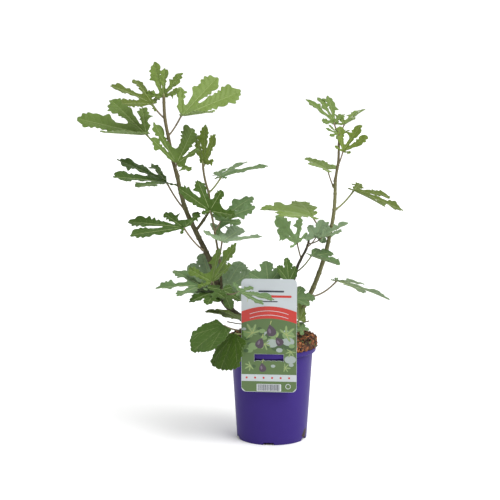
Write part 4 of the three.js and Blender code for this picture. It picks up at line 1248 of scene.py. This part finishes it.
# Places of the picture's leaves, its figs and the mark beside the heading: (x, y, size, turn in degrees).
PRINT_LEAVES = (
    (-31, 112, 21, 30), (32, 110, 20, -50), (-35, 50, 12, 120), (41, 78, 12, 160), (30, 47, 11, -95),
    (-8, 92, 13, 200),
)
PRINT_FIGS = ((4, 117, 10.5, 15), (-17, 93, 9.5, -20), (19, 97, 8.5, 40), (-12, 46.5, 8, 10))
PRINT_MARK = (-38, 182, 11, -20)
PRINT_VEINS = ((-100, 0.6), (-50, 0.78), (0, 0.9), (50, 0.78), (100, 0.6))  # (degrees, reach) on a leaf
PRINT_DOTS = (-42, -26, -10, 6, 22, 38)


def print_shapes():
    """A plain generic print in thin layers: an arched band, a picture of leaves and figs, and small marks."""
    face = LABEL["sheet"] / 2
    half = LABEL["width"] / 2 - 0.5
    shapes = []

    def ink(colour, layer, *outlines):
        shapes.append(flat_plate(outlines, face - 0.03, face + LAYER * layer, INK[colour]))

    print_grounds(ink, half)
    print_patches(ink, half)
    for place in PRINT_LEAVES:
        ink("light", 3, turned_flat(lobed_outline(), *place))
        for degrees, reach in PRINT_VEINS:
            turn = math.radians(degrees)
            tip = (math.sin(turn) * reach, math.cos(turn) * reach)
            ink("stem", 4, turned_flat(stroke((0, 0), tip, 0.06), *place))
    for place in PRINT_FIGS:
        neck = turned_flat([(0, 1)], *place)[0]
        ink("stem", 4, stroke(neck + [3, 9], neck, 1.6))
        ink("purple", 5, turned_flat(fig_outline(), *place))
        ink("bloom", 6, turned_flat(ellipse(-0.25, 0.05, 0.22, 0.45), *place))
    print_marks(ink)
    return joined(shapes)


def print_grounds(ink, half):
    """The arched red band with two pale lines, the green picture under it round the slot, and the green
    strip at the card's foot. Both edges of the band fall with the square of the distance from its middle."""
    across = np.linspace(-half, half, 25)
    bend = (across / 52) ** 2
    top_edge = np.stack([across, 163.5 - 10.5 * bend], -1)
    low_edge = np.stack([across, 140.5 - 9.5 * bend], -1)
    ink("red", 2, np.vstack([top_edge, low_edge[::-1]]))
    for lift in (6.5, 14.5):
        line = np.stack([across * 0.7, low_edge[:, 1] + lift + bend * 3], -1)
        ink("white", 3, np.vstack([line + [0, 0.45], line[::-1] - [0, 0.45]]))
    ink("green", 1, np.vstack([low_edge, [[half, 33.5], [-half, 33.5]]]), slot_outline(0.4))
    corner = half - 7
    ink("green", 1, [(-half, 20.5), (-half, 8), (-corner, 0.6), (corner, 0.6), (half, 8), (half, 20.5)])


def print_patches(ink, half):
    """Soft patches in the picture, dealt out by chance, each a little over the one before. One that would
    lie over the slot is left out."""
    for i in range(PRINT_PATCHES):
        wide = 4 + 8 * chance(i + 0.9)
        x = jitter(i + 0.3, half - wide)
        y = 41 + wide + (86 - 2 * wide) * chance(i + 0.6)
        beside_slot = abs(x) - wide > SLOT["width"] / 2 + 1
        if abs(y - 66) >= 10 + wide * 0.7 or beside_slot:
            ink(("deep", "mist", "light")[i % 3], 2 + i / 90, ellipse(x, y, wide, wide * 0.7))


def print_marks(ink):
    """A row of dots, a pale field with upright bars of chance widths, a ring, and the heading: a leaf and
    three plain bars."""
    for x in PRINT_DOTS:
        ink("red", 2, rounded(x - 1.8, 25.3, x + 1.8, 29, 1.2, 3))
    ink("white", 2, rounded(-23, 1.4, 23, 15.2, 1, 3))
    place = -21.0
    for i in range(PRINT_BARS):
        end = place + 0.4 + 0.8 * chance(i + 0.15)
        ink("ink", 3, [(place, 2.4), (end, 2.4), (end, 14.4), (place, 14.4)])
        place = end + 0.4 + 0.5 * chance(i + 0.55)
    ink("white", 2, ellipse(36, 11, 5, 5, 28), ellipse(36, 11, 3.9, 3.9, 28))
    x, y, _, _ = PRINT_MARK
    ink("green", 2, turned_flat(lobed_outline(), *PRINT_MARK))
    ink("stem", 2, stroke((x, y), (x - 3, y - 11), 1.4))
    ink("ink", 2, rounded(-20, 190, 28, 193.4, 1.7))
    ink("red", 2, rounded(-20, 180, 42, 184.4, 2.2))
    ink("ink", 2, rounded(-20, 171.5, 16, 173.6, 1))


# ---- materials ----
# Base colours of the leaves' upper sides, in the order of the leaf materials. The palest one is painted
# light: a green lighter than a leaf's own, standing in for light that shines through a thin blade from
# behind.
TINTS = {
    "deep": (0.045, 0.091, 0.008),
    "dark": (0.054, 0.105, 0.017),
    "mid": (0.11, 0.176, 0.032),
    "fresh": (0.087, 0.126, 0.013),
    "light": (0.165, 0.243, 0.052),
    "grey": (0.106, 0.178, 0.067),
    "pale": (0.195, 0.28, 0.155),
    "young": (0.167, 0.235, 0.04),
    # painted light: paler than any leaf's own green, for light shining through the blade from behind onto its
    # shaded side
    "painted_backlight": (0.35, 0.52, 0.235),
}
SOIL_COLOURS = ((0.03, 0.014, 0.008), (0.14, 0.05, 0.018))  # base colours that noise mixes in the compost
YOUNG_BARK = 0.65  # how far the right bough's bark is turned to the young bark's colours
UNDER_SHARE = 0.25  # how far an underside's colour is turned to the undersides' own
VEIN_SHARES = {"midrib_": 0.62, "vein_": 0.25}  # how far a vein's colour is turned to the veins' own
# Base colour and roughness of the bark chips, in the order of their materials.
CHIPS = {
    "dark": ((0.035, 0.016, 0.008), 0.9),
    "brown": ((0.18, 0.062, 0.02), 0.85),
    "rust": ((0.4, 0.145, 0.05), 0.85),
    "green": ((0.12, 0.13, 0.035), 0.85),
}


def blend(first, second, share):
    """The colour a share of the way from the first to the second."""
    return tuple(np.array(first) * (1 - share) + np.array(second) * share)


def feed(tree, node, inputs):
    """Give a node's inputs, by name or place, each a value or a link from an output."""
    for socket, given in inputs.items():
        if isinstance(given, bpy.types.NodeSocket):
            tree.links.new(given, node.inputs[socket])
        else:
            node.inputs[socket].default_value = given


def add_node(tree, kind, inputs, **settings):
    """A shader node with its settings and inputs."""
    node = tree.nodes.new("ShaderNode" + kind)
    for name, value in settings.items():
        setattr(node, name, value)
    feed(tree, node, inputs)
    return node


def tone_group():
    """Two colours mixed by noise at a place, and the noise itself as a height: a node group that is made
    once. The share of the second colour is sharpness (noise - 1/2) + 1/2, kept from 0 to 1."""
    group = bpy.data.node_groups.get("fig_tone")
    if group:
        return group
    group = bpy.data.node_groups.new("fig_tone", "ShaderNodeTree")
    for name, way, kind in (
        ("First", "INPUT", "Color"), ("Second", "INPUT", "Color"), ("Scale", "INPUT", "Float"),
        ("Sharpness", "INPUT", "Float"), ("Color", "OUTPUT", "Color"), ("Height", "OUTPUT", "Float"),
    ):
        group.interface.new_socket(name, in_out=way, socket_type="NodeSocket" + kind)
    first, second, scale, sharpness = group.nodes.new("NodeGroupInput").outputs[:4]
    place = add_node(group, "TexCoord", {}).outputs["Object"]
    finely = {"Vector": place, "Scale": scale, "Detail": 5, "Roughness": 0.6}
    noise = add_node(group, "TexNoise", finely).outputs[0]
    offset = add_node(group, "Math", {0: sharpness, 1: -0.5, 2: 0.5}, operation="MULTIPLY_ADD").outputs[0]
    sharpened = {0: noise, 1: sharpness, 2: offset}
    share = add_node(group, "Math", sharpened, operation="MULTIPLY_ADD", use_clamp=True).outputs[0]
    mix = add_node(group, "Mix", {"Factor": share, "A": first, "B": second}, data_type="RGBA")
    feed(group, group.nodes.new("NodeGroupOutput"), {"Color": mix.outputs["Result"], "Height": noise})
    return group


def plain(name, colour, roughness, coat=0.0, shine=0.5):
    """A material of one colour."""
    material = bpy.data.materials.new(name)
    material.use_nodes = True
    feed(material.node_tree, material.node_tree.nodes["Principled BSDF"], {
        "Base Color": (*colour, 1), "Roughness": roughness, "Coat Weight": coat, "Specular IOR Level": shine,
    })
    return material


def toned(name, first, second, scale, roughness, bump, sharpness, shine=0.5):
    """A material whose colour is mixed by the tone group, with a bump of its height in metres. Returned
    with the node of the group."""
    material = plain(name, first, roughness, shine=shine)
    tree = material.node_tree
    values = {"First": (*first, 1), "Second": (*second, 1), "Scale": scale, "Sharpness": sharpness}
    tone = add_node(tree, "Group", values, node_tree=tone_group())
    relief = add_node(tree, "Bump", {"Distance": bump, "Height": tone.outputs["Height"]})
    looks = {"Base Color": tone.outputs["Color"], "Normal": relief.outputs["Normal"]}
    feed(tree, tree.nodes["Principled BSDF"], looks)
    return material, tone


def bark_material(name, youth):
    """Dark olive-brown low on the plant, greener and paler with height, mottled by noise. Youth is how far
    the low colours are already turned to the high ones."""
    settings = bpy.context.scene.fig_bark
    high, high_fleck = settings.high_color, settings.high_fleck
    old, old_fleck = blend(settings.low_color, high, youth), blend(settings.low_fleck, high_fleck, youth)
    material, tone = toned(
        name, old, old_fleck, scale=160, roughness=0.7, bump=0.0005, sharpness=2.5, shine=0.3
    )
    tree = material.node_tree
    place = add_node(tree, "TexCoord", {})
    height = add_node(tree, "SeparateXYZ", {0: place.outputs["Object"]}).outputs["Z"]
    limits = {"From Min": settings.young_from, "From Max": settings.young_to}
    share = add_node(tree, "MapRange", {"Value": height, **limits}).outputs["Result"]
    for socket, low_tone, high_tone in (("First", old, high), ("Second", old_fleck, high_fleck)):
        ends = {"Factor": share, "A": (*low_tone, 1), "B": (*high_tone, 1)}
        feed(tree, tone, {socket: add_node(tree, "Mix", ends, data_type="RGBA").outputs["Result"]})
    return material


def pot_material():
    """The plastic with its faint mottling, and a patch of dried soil at its foot: where the distance from
    the patch's middle, lengthened by noise, is short."""
    settings = bpy.context.scene.fig_pot
    size = settings.soil_size
    material, tone = toned(
        "pot_plastic", settings.color, settings.shade,
        scale=9, roughness=settings.roughness, bump=0.00004, sharpness=1.5, shine=0.1,
    )
    tree = material.node_tree
    place = add_node(tree, "TexCoord", {}).outputs["Object"]
    distance = add_node(tree, "VectorMath", {0: place, 1: settings.soil_place}, operation="DISTANCE")
    noise = add_node(tree, "TexNoise", {"Vector": place, "Scale": 160, "Detail": 3})
    summed = {0: noise.outputs[0], 1: size * 1.6, 2: distance.outputs["Value"]}
    shaken = add_node(tree, "Math", summed, operation="MULTIPLY_ADD").outputs[0]
    cover = add_node(tree, "MapRange", {"Value": shaken, "From Min": size * 1.65, "From Max": size * 1.45})
    soiled = {
        "Factor": cover.outputs["Result"], "A": tone.outputs["Color"], "B": (*settings.soil_color, 1),
    }
    mix = add_node(tree, "Mix", soiled, data_type="RGBA")
    feed(tree, tree.nodes["Principled BSDF"], {"Base Color": mix.outputs["Result"]})
    return material


def leaf_materials():
    """Upper sides by tint, then the paler undersides by tint."""
    settings = bpy.context.scene.fig_leaves
    uppers = [plain("leaf_" + name, tint, settings.roughness, shine=0.2) for name, tint in TINTS.items()]
    unders = [
        plain("leaf_under_" + name, blend(tint, settings.under_color, UNDER_SHARE), roughness=0.8, shine=0.2)
        for name, tint in TINTS.items()
    ]
    return uppers + unders


def vein_materials():
    """Midribs by the tint of their leaf, then side veins: the tint, turned far or a little way to the
    veins' own colour."""
    own = bpy.context.scene.fig_leaves.vein_color
    return [
        plain(kind + name, blend(tint, own, share), roughness=0.6, shine=0.2)
        for kind, share in VEIN_SHARES.items()
        for name, tint in TINTS.items()
    ]


# ---- settings ----
def length_setting(name, description, default):
    """A length in metres."""
    return FloatProperty(
        name=name, description=description, default=default, min=0, subtype="DISTANCE", unit="LENGTH"
    )


def colour_setting(name, description, default):
    """A base colour."""
    return FloatVectorProperty(
        name=name, description=description, default=default, size=3, min=0, max=1, subtype="COLOR"
    )


def share_setting(name, description, default, most=1.0):
    """A number from 0 to the most."""
    return FloatProperty(name=name, description=description, default=default, min=0, max=most)


class FigLeafSettings(bpy.types.PropertyGroup):
    """The blades' margins, veins and surface."""

    tooth_depth: length_setting("Tooth depth", "Height of the teeth on the leaves' margins", 0.0048)
    tooth_pitch: length_setting("Tooth pitch", "Distance between the teeth", 0.0145)
    thickness: length_setting("Thickness", "Thickness of the blades", 0.0007)
    vein_width: length_setting("Vein width", "Width of a midrib at its foot on a 100 mm leaf", 0.0021)
    vein_spacing: length_setting("Vein spacing", "Distance between side veins", 0.0105)
    vein_sweep: share_setting("Vein sweep", "How far the side veins lean forwards", 0.75, 2)
    quilting: share_setting("Quilting", "Rise of the blade between side veins, by leaf length", 0.012)
    ripple: share_setting("Ripple", "Waves of the margins, by leaf length", 0.014)
    roughness: share_setting("Roughness", "Roughness of the upper sides", 0.5)
    under_color: colour_setting("Underside", "Colour that the undersides tend to", (0.3, 0.36, 0.22))
    vein_color: colour_setting("Veins", "Colour of the veins", (0.45, 0.53, 0.24))


class FigBarkSettings(bpy.types.PropertyGroup):
    """The wood of the trunk and boughs, and the green shoots."""

    relief: length_setting("Relief", "Depth of the bark's ridges", 0.0005)
    ring_spacing: length_setting("Ring spacing", "Distance between the mesh's rings along a limb", 0.0022)
    young_from: length_setting("Young from", "Height where the bark starts to turn young", 0.3)
    young_to: length_setting("Young to", "Height where it is all young", 0.75)
    low_color: colour_setting("Old bark", "Main colour of the bark low down", (0.026, 0.02, 0.01))
    low_fleck: colour_setting("Old flecks", "Second colour low down", (0.07, 0.06, 0.028))
    high_color: colour_setting("Young bark", "Main colour of the bark high up", (0.15, 0.14, 0.06))
    high_fleck: colour_setting("Young flecks", "Second colour high up", (0.25, 0.25, 0.11))
    shoot_color: colour_setting("Shoots", "Colour of the green shoots and stalks", (0.19, 0.21, 0.075))
    ripe_color: colour_setting("Ripe shoots", "Colour of the shoots that have turned", (0.125, 0.103, 0.043))
    woody_color: colour_setting("Woody shoots", "Colour of the middle shoot", (0.045, 0.038, 0.018))
    stalk_color: colour_setting("Ripe stalks", "Colour of the stalks that have turned", (0.2, 0.16, 0.1))


class FigPotSettings(bpy.types.PropertyGroup):
    """The moulded pot."""

    color: colour_setting("Colour", "Colour of the plastic", (0.042, 0.0225, 0.178))
    shade: colour_setting("Shade", "Second colour of its faint mottling", (0.036, 0.0195, 0.153))
    roughness: share_setting("Roughness", "Roughness of the plastic", 0.42)
    soil_color: colour_setting("Dried soil", "Colour of the soil dried on at the foot", (0.028, 0.014, 0.012))
    soil_size: length_setting("Soil size", "Reach of the dried patch round its middle", 0.012)
    soil_place: FloatVectorProperty(
        name="Soil place", description="Middle of the dried patch", size=3, default=(0.064, -0.029, 0.012),
        subtype="XYZ", unit="LENGTH",
    )
    sides: IntProperty(name="Sides", description="Facets round the pot", default=144, min=24, max=256)


class FigCompostSettings(bpy.types.PropertyGroup):
    """The root ball and the bark chips on it."""

    lump_depth: length_setting("Lump depth", "Depth of the lumps in the surface", 0.0011)
    chip_length: length_setting("Chip length", "Length of the largest chips", 0.0085)
    chips: IntProperty(name="Chips", description="Number of bark chips", default=4200, min=0, max=8000)


class FigLabelSettings(bpy.types.PropertyGroup):
    """The hang-on label."""

    roughness: share_setting("Roughness", "Roughness of the printed card", 0.38)
    coat: share_setting("Gloss", "Weight of the clear film on it", 0.15)


class FigStageSettings(bpy.types.PropertyGroup):
    """Floor, lights and camera."""

    floor_color: colour_setting("Floor", "Colour of the floor", (0.97, 0.97, 0.97))
    back_sky: share_setting("Backdrop", "Strength of the white surroundings behind the plant", 1.15, 5)
    front_sky: share_setting("Front", "Strength of the white surroundings in front of it", 0.42, 5)
    key: share_setting("Key light", "Strength of the soft lamp from the right", 2.2, 20)
    lens: FloatProperty(
        name="Lens", description="Focal length of the camera", default=95.7, min=10, unit="CAMERA"
    )


SETTINGS = {
    "fig_leaves": FigLeafSettings, "fig_bark": FigBarkSettings, "fig_pot": FigPotSettings,
    "fig_compost": FigCompostSettings, "fig_label": FigLabelSettings, "fig_stage": FigStageSettings,
}


# ---- stage ----
FLOOR_HALF = 12.0  # metres
SKY_WAY = (0.62, 0.75, 0.3)  # where the surroundings are brightest
SKY_RANGE = (-0.7, 0.65)  # from the front's strength to the back's, as distances along that way
KEY_PLACE = (1.5, -1.4, 2.6)  # metres
KEY_SPREAD = 40  # degrees
CAMERA_PLACE = (-0.0425, -2.515, 0.728)  # metres
CAMERA_DIP = 8.2  # degrees below level
SENSOR = 36  # width of the camera's sensor in mm


def floor_object(settings):
    """A level square under the pot."""
    half = FLOOR_HALF
    mesh = bpy.data.meshes.new("floor")
    corners = [(-half, -half, 0), (half, -half, 0), (half, half, 0), (-half, half, 0)]
    mesh.from_pydata(corners, [], [(0, 1, 2, 3)])
    mesh.materials.append(plain("floor_white", settings.floor_color, roughness=0.9))
    return bpy.data.objects.new("floor", mesh)


def key_lamp(settings):
    """A soft sun whose light falls from its place towards the origin."""
    lamp = bpy.data.lights.new("key", "SUN")
    lamp.energy = settings.key
    lamp.angle = math.radians(KEY_SPREAD)
    made = bpy.data.objects.new("key", lamp)
    made.location = KEY_PLACE
    made.rotation_euler = (-made.location).to_track_quat("-Z", "Y").to_euler()
    return made


def surroundings(settings):
    """White all round, its strength rising from the front to the back along one way."""
    world = bpy.data.worlds.new("white_studio")
    world.use_nodes = True
    tree = world.node_tree
    way = add_node(tree, "TexCoord", {}).outputs["Generated"]
    towards = add_node(tree, "VectorMath", {0: way, 1: SKY_WAY}, operation="DOT_PRODUCT")
    low, high = SKY_RANGE
    strength = add_node(tree, "MapRange", {
        "Value": towards.outputs["Value"], "From Min": low, "From Max": high,
        "To Min": settings.front_sky, "To Max": settings.back_sky,
    })
    feed(tree, tree.nodes["Background"], {"Color": (1, 1, 1, 1), "Strength": strength.outputs["Result"]})
    return world


def camera_object(settings):
    """The camera in front of the plant, looking a little down."""
    camera = bpy.data.cameras.new("camera")
    camera.lens = settings.lens
    camera.sensor_width = SENSOR
    made = bpy.data.objects.new("camera", camera)
    made.location = CAMERA_PLACE
    made.rotation_euler = (math.radians(90 - CAMERA_DIP), 0, 0)
    return made


# ---- operators ----
class FIG_OT_bark(bpy.types.Operator):
    """Build the trunk and boughs with their bark"""

    bl_idname = "fig.build_bark"
    bl_label = "Trunk and Boughs"
    bl_options = {"REGISTER", "UNDO"}

    def execute(self, context):
        paths, _, _ = grown()
        barks = [bark_material("bark_old", 0), bark_material("bark_young", YOUNG_BARK)]
        piece("bark", bark_shape(paths), barks, ["trunk", *LIMBS])
        return {"FINISHED"}


class FIG_OT_shoots(bpy.types.Operator):
    """Build the green shoots, their buds and the leaf stalks"""

    bl_idname = "fig.build_shoots"
    bl_label = "Shoots, Buds and Stalks"
    bl_options = {"REGISTER", "UNDO"}

    def execute(self, context):
        settings = context.scene.fig_bark
        paths, stems, leaves = grown()
        green = plain("shoot_green", settings.shoot_color, roughness=0.6)
        ripe = plain("shoot_ripe", settings.ripe_color, roughness=0.6)
        woody = plain("shoot_woody", settings.woody_color, roughness=0.7)
        ripe_stalk = plain("stalk_ripe", settings.stalk_color, roughness=0.6)
        piece("shoots", shoot_shapes(stems), [green, ripe, woody], None)
        piece("buds", bud_shapes(stems, leaves), [green, ripe], None)
        piece("stalks", stalk_shapes(paths, leaves), [green, ripe_stalk], None)
        return {"FINISHED"}


class FIG_OT_leaves(bpy.types.Operator):
    """Build the leaf blades and their veins"""

    bl_idname = "fig.build_leaves"
    bl_label = "Leaves"
    bl_options = {"REGISTER", "UNDO"}

    def execute(self, context):
        _, _, leaves = grown()
        materials = leaf_materials()
        tints = list(TINTS)
        bars = []
        for side, masses in SIDES_OF_CROWN.items():
            blades = []
            for name in masses:
                for one in leaves[name]:
                    grids = placed_grids(one)
                    tint = tints.index(one["tint"])
                    blades.append(blade(grids, tint))
                    bars.append(veins(one, grids, tint))
            piece("leaves_" + side, joined(blades), materials, masses, sharp=40)
        piece("leaf_veins", joined(bars), vein_materials(), None)
        return {"FINISHED"}


class FIG_OT_pot(bpy.types.Operator):
    """Build the moulded pot with its drainage notches"""

    bl_idname = "fig.build_pot"
    bl_label = "Pot"
    bl_options = {"REGISTER", "UNDO"}

    def execute(self, context):
        plastic = pot_material()
        body = turned(pot_profile(), context.scene.fig_pot.sides)
        made = piece("pot_body", body, [plastic], ["pot"])
        cutter = piece("pot_cutter", notch_cutter(), [plastic], None)
        cut = made.modifiers.new("notches", "BOOLEAN")
        cut.object = cutter
        cut.solver = "EXACT"
        graph = context.evaluated_depsgraph_get()
        mesh = bpy.data.meshes.new_from_object(made.evaluated_get(graph))
        made.modifiers.clear()
        made.data = mesh
        bpy.data.objects.remove(cutter, do_unlink=True)
        shade_smooth(mesh, sharp=35)
        return {"FINISHED"}


class FIG_OT_compost(bpy.types.Operator):
    """Build the root ball and its bark chips"""

    bl_idname = "fig.build_compost"
    bl_label = "Compost"
    bl_options = {"REGISTER", "UNDO"}

    def execute(self, context):
        soil, _ = toned("compost_soil", *SOIL_COLOURS, scale=300, roughness=0.95, bump=0.0006, sharpness=3)
        chips = [plain("chip_" + name, *look) for name, look in CHIPS.items()]
        piece("compost_ball", compost_shape(), [soil], ["compost"])
        piece("compost_chips", chip_shapes(), chips, None, sharp=20)
        return {"FINISHED"}


class FIG_OT_label(bpy.types.Operator):
    """Build the hang-on label and its print"""

    bl_idname = "fig.build_label"
    bl_label = "Label"
    bl_options = {"REGISTER", "UNDO"}

    def execute(self, context):
        settings = context.scene.fig_label
        finish = settings.roughness, settings.coat
        inks = [plain("ink_" + name, colour, *finish) for name, colour in INKS.items()]
        piece("label_card", label_card_shape(), inks[:1], ["label"], sharp=30)
        piece("label_print", print_shapes(), inks, None, sharp=30)
        return {"FINISHED"}


class FIG_OT_stage(bpy.types.Operator):
    """Set up the floor, the lights, the surroundings and the camera"""

    bl_idname = "fig.build_stage"
    bl_label = "Stage"
    bl_options = {"REGISTER", "UNDO"}

    def execute(self, context):
        scene, settings = context.scene, context.scene.fig_stage
        ground, lamp, viewer = floor_object(settings), key_lamp(settings), camera_object(settings)
        for made in (ground, lamp, viewer):
            scene.collection.objects.link(made)
        scene.camera = viewer
        scene.world = surroundings(settings)
        scene.view_settings.view_transform = "Standard"
        return {"FINISHED"}


OPERATORS = (
    FIG_OT_bark, FIG_OT_shoots, FIG_OT_leaves, FIG_OT_pot, FIG_OT_compost, FIG_OT_label, FIG_OT_stage,
)


class FIG_PT_sidebar(bpy.types.Panel):
    """Settings and build buttons of the fig tree"""

    bl_idname = "FIG_PT_sidebar"
    bl_label = "Potted Fig Tree"
    bl_space_type = "VIEW_3D"
    bl_region_type = "UI"
    bl_category = "Fig Tree"

    def draw(self, context):
        for operator in OPERATORS:
            self.layout.operator(operator.bl_idname)
        for name, group in SETTINGS.items():
            box = self.layout.box()
            box.label(text=group.__doc__)
            for setting in group.__annotations__:
                box.prop(getattr(context.scene, name), setting)


CLASSES = (*SETTINGS.values(), *OPERATORS, FIG_PT_sidebar)


def register():
    """Register the classes and hang each group of settings on the scene."""
    for group in CLASSES:
        bpy.utils.register_class(group)
    for name, group in SETTINGS.items():
        setattr(bpy.types.Scene, name, PointerProperty(type=group))


def unregister():
    """Take back what register did."""
    for name in SETTINGS:
        delattr(bpy.types.Scene, name)
    for group in reversed(CLASSES):
        bpy.utils.unregister_class(group)


def main():
    """Build everything in order."""
    register()
    for operator in OPERATORS:
        group, name = operator.bl_idname.split(".")
        getattr(getattr(bpy.ops, group), name)()


if __name__ == "__main__":
    main()
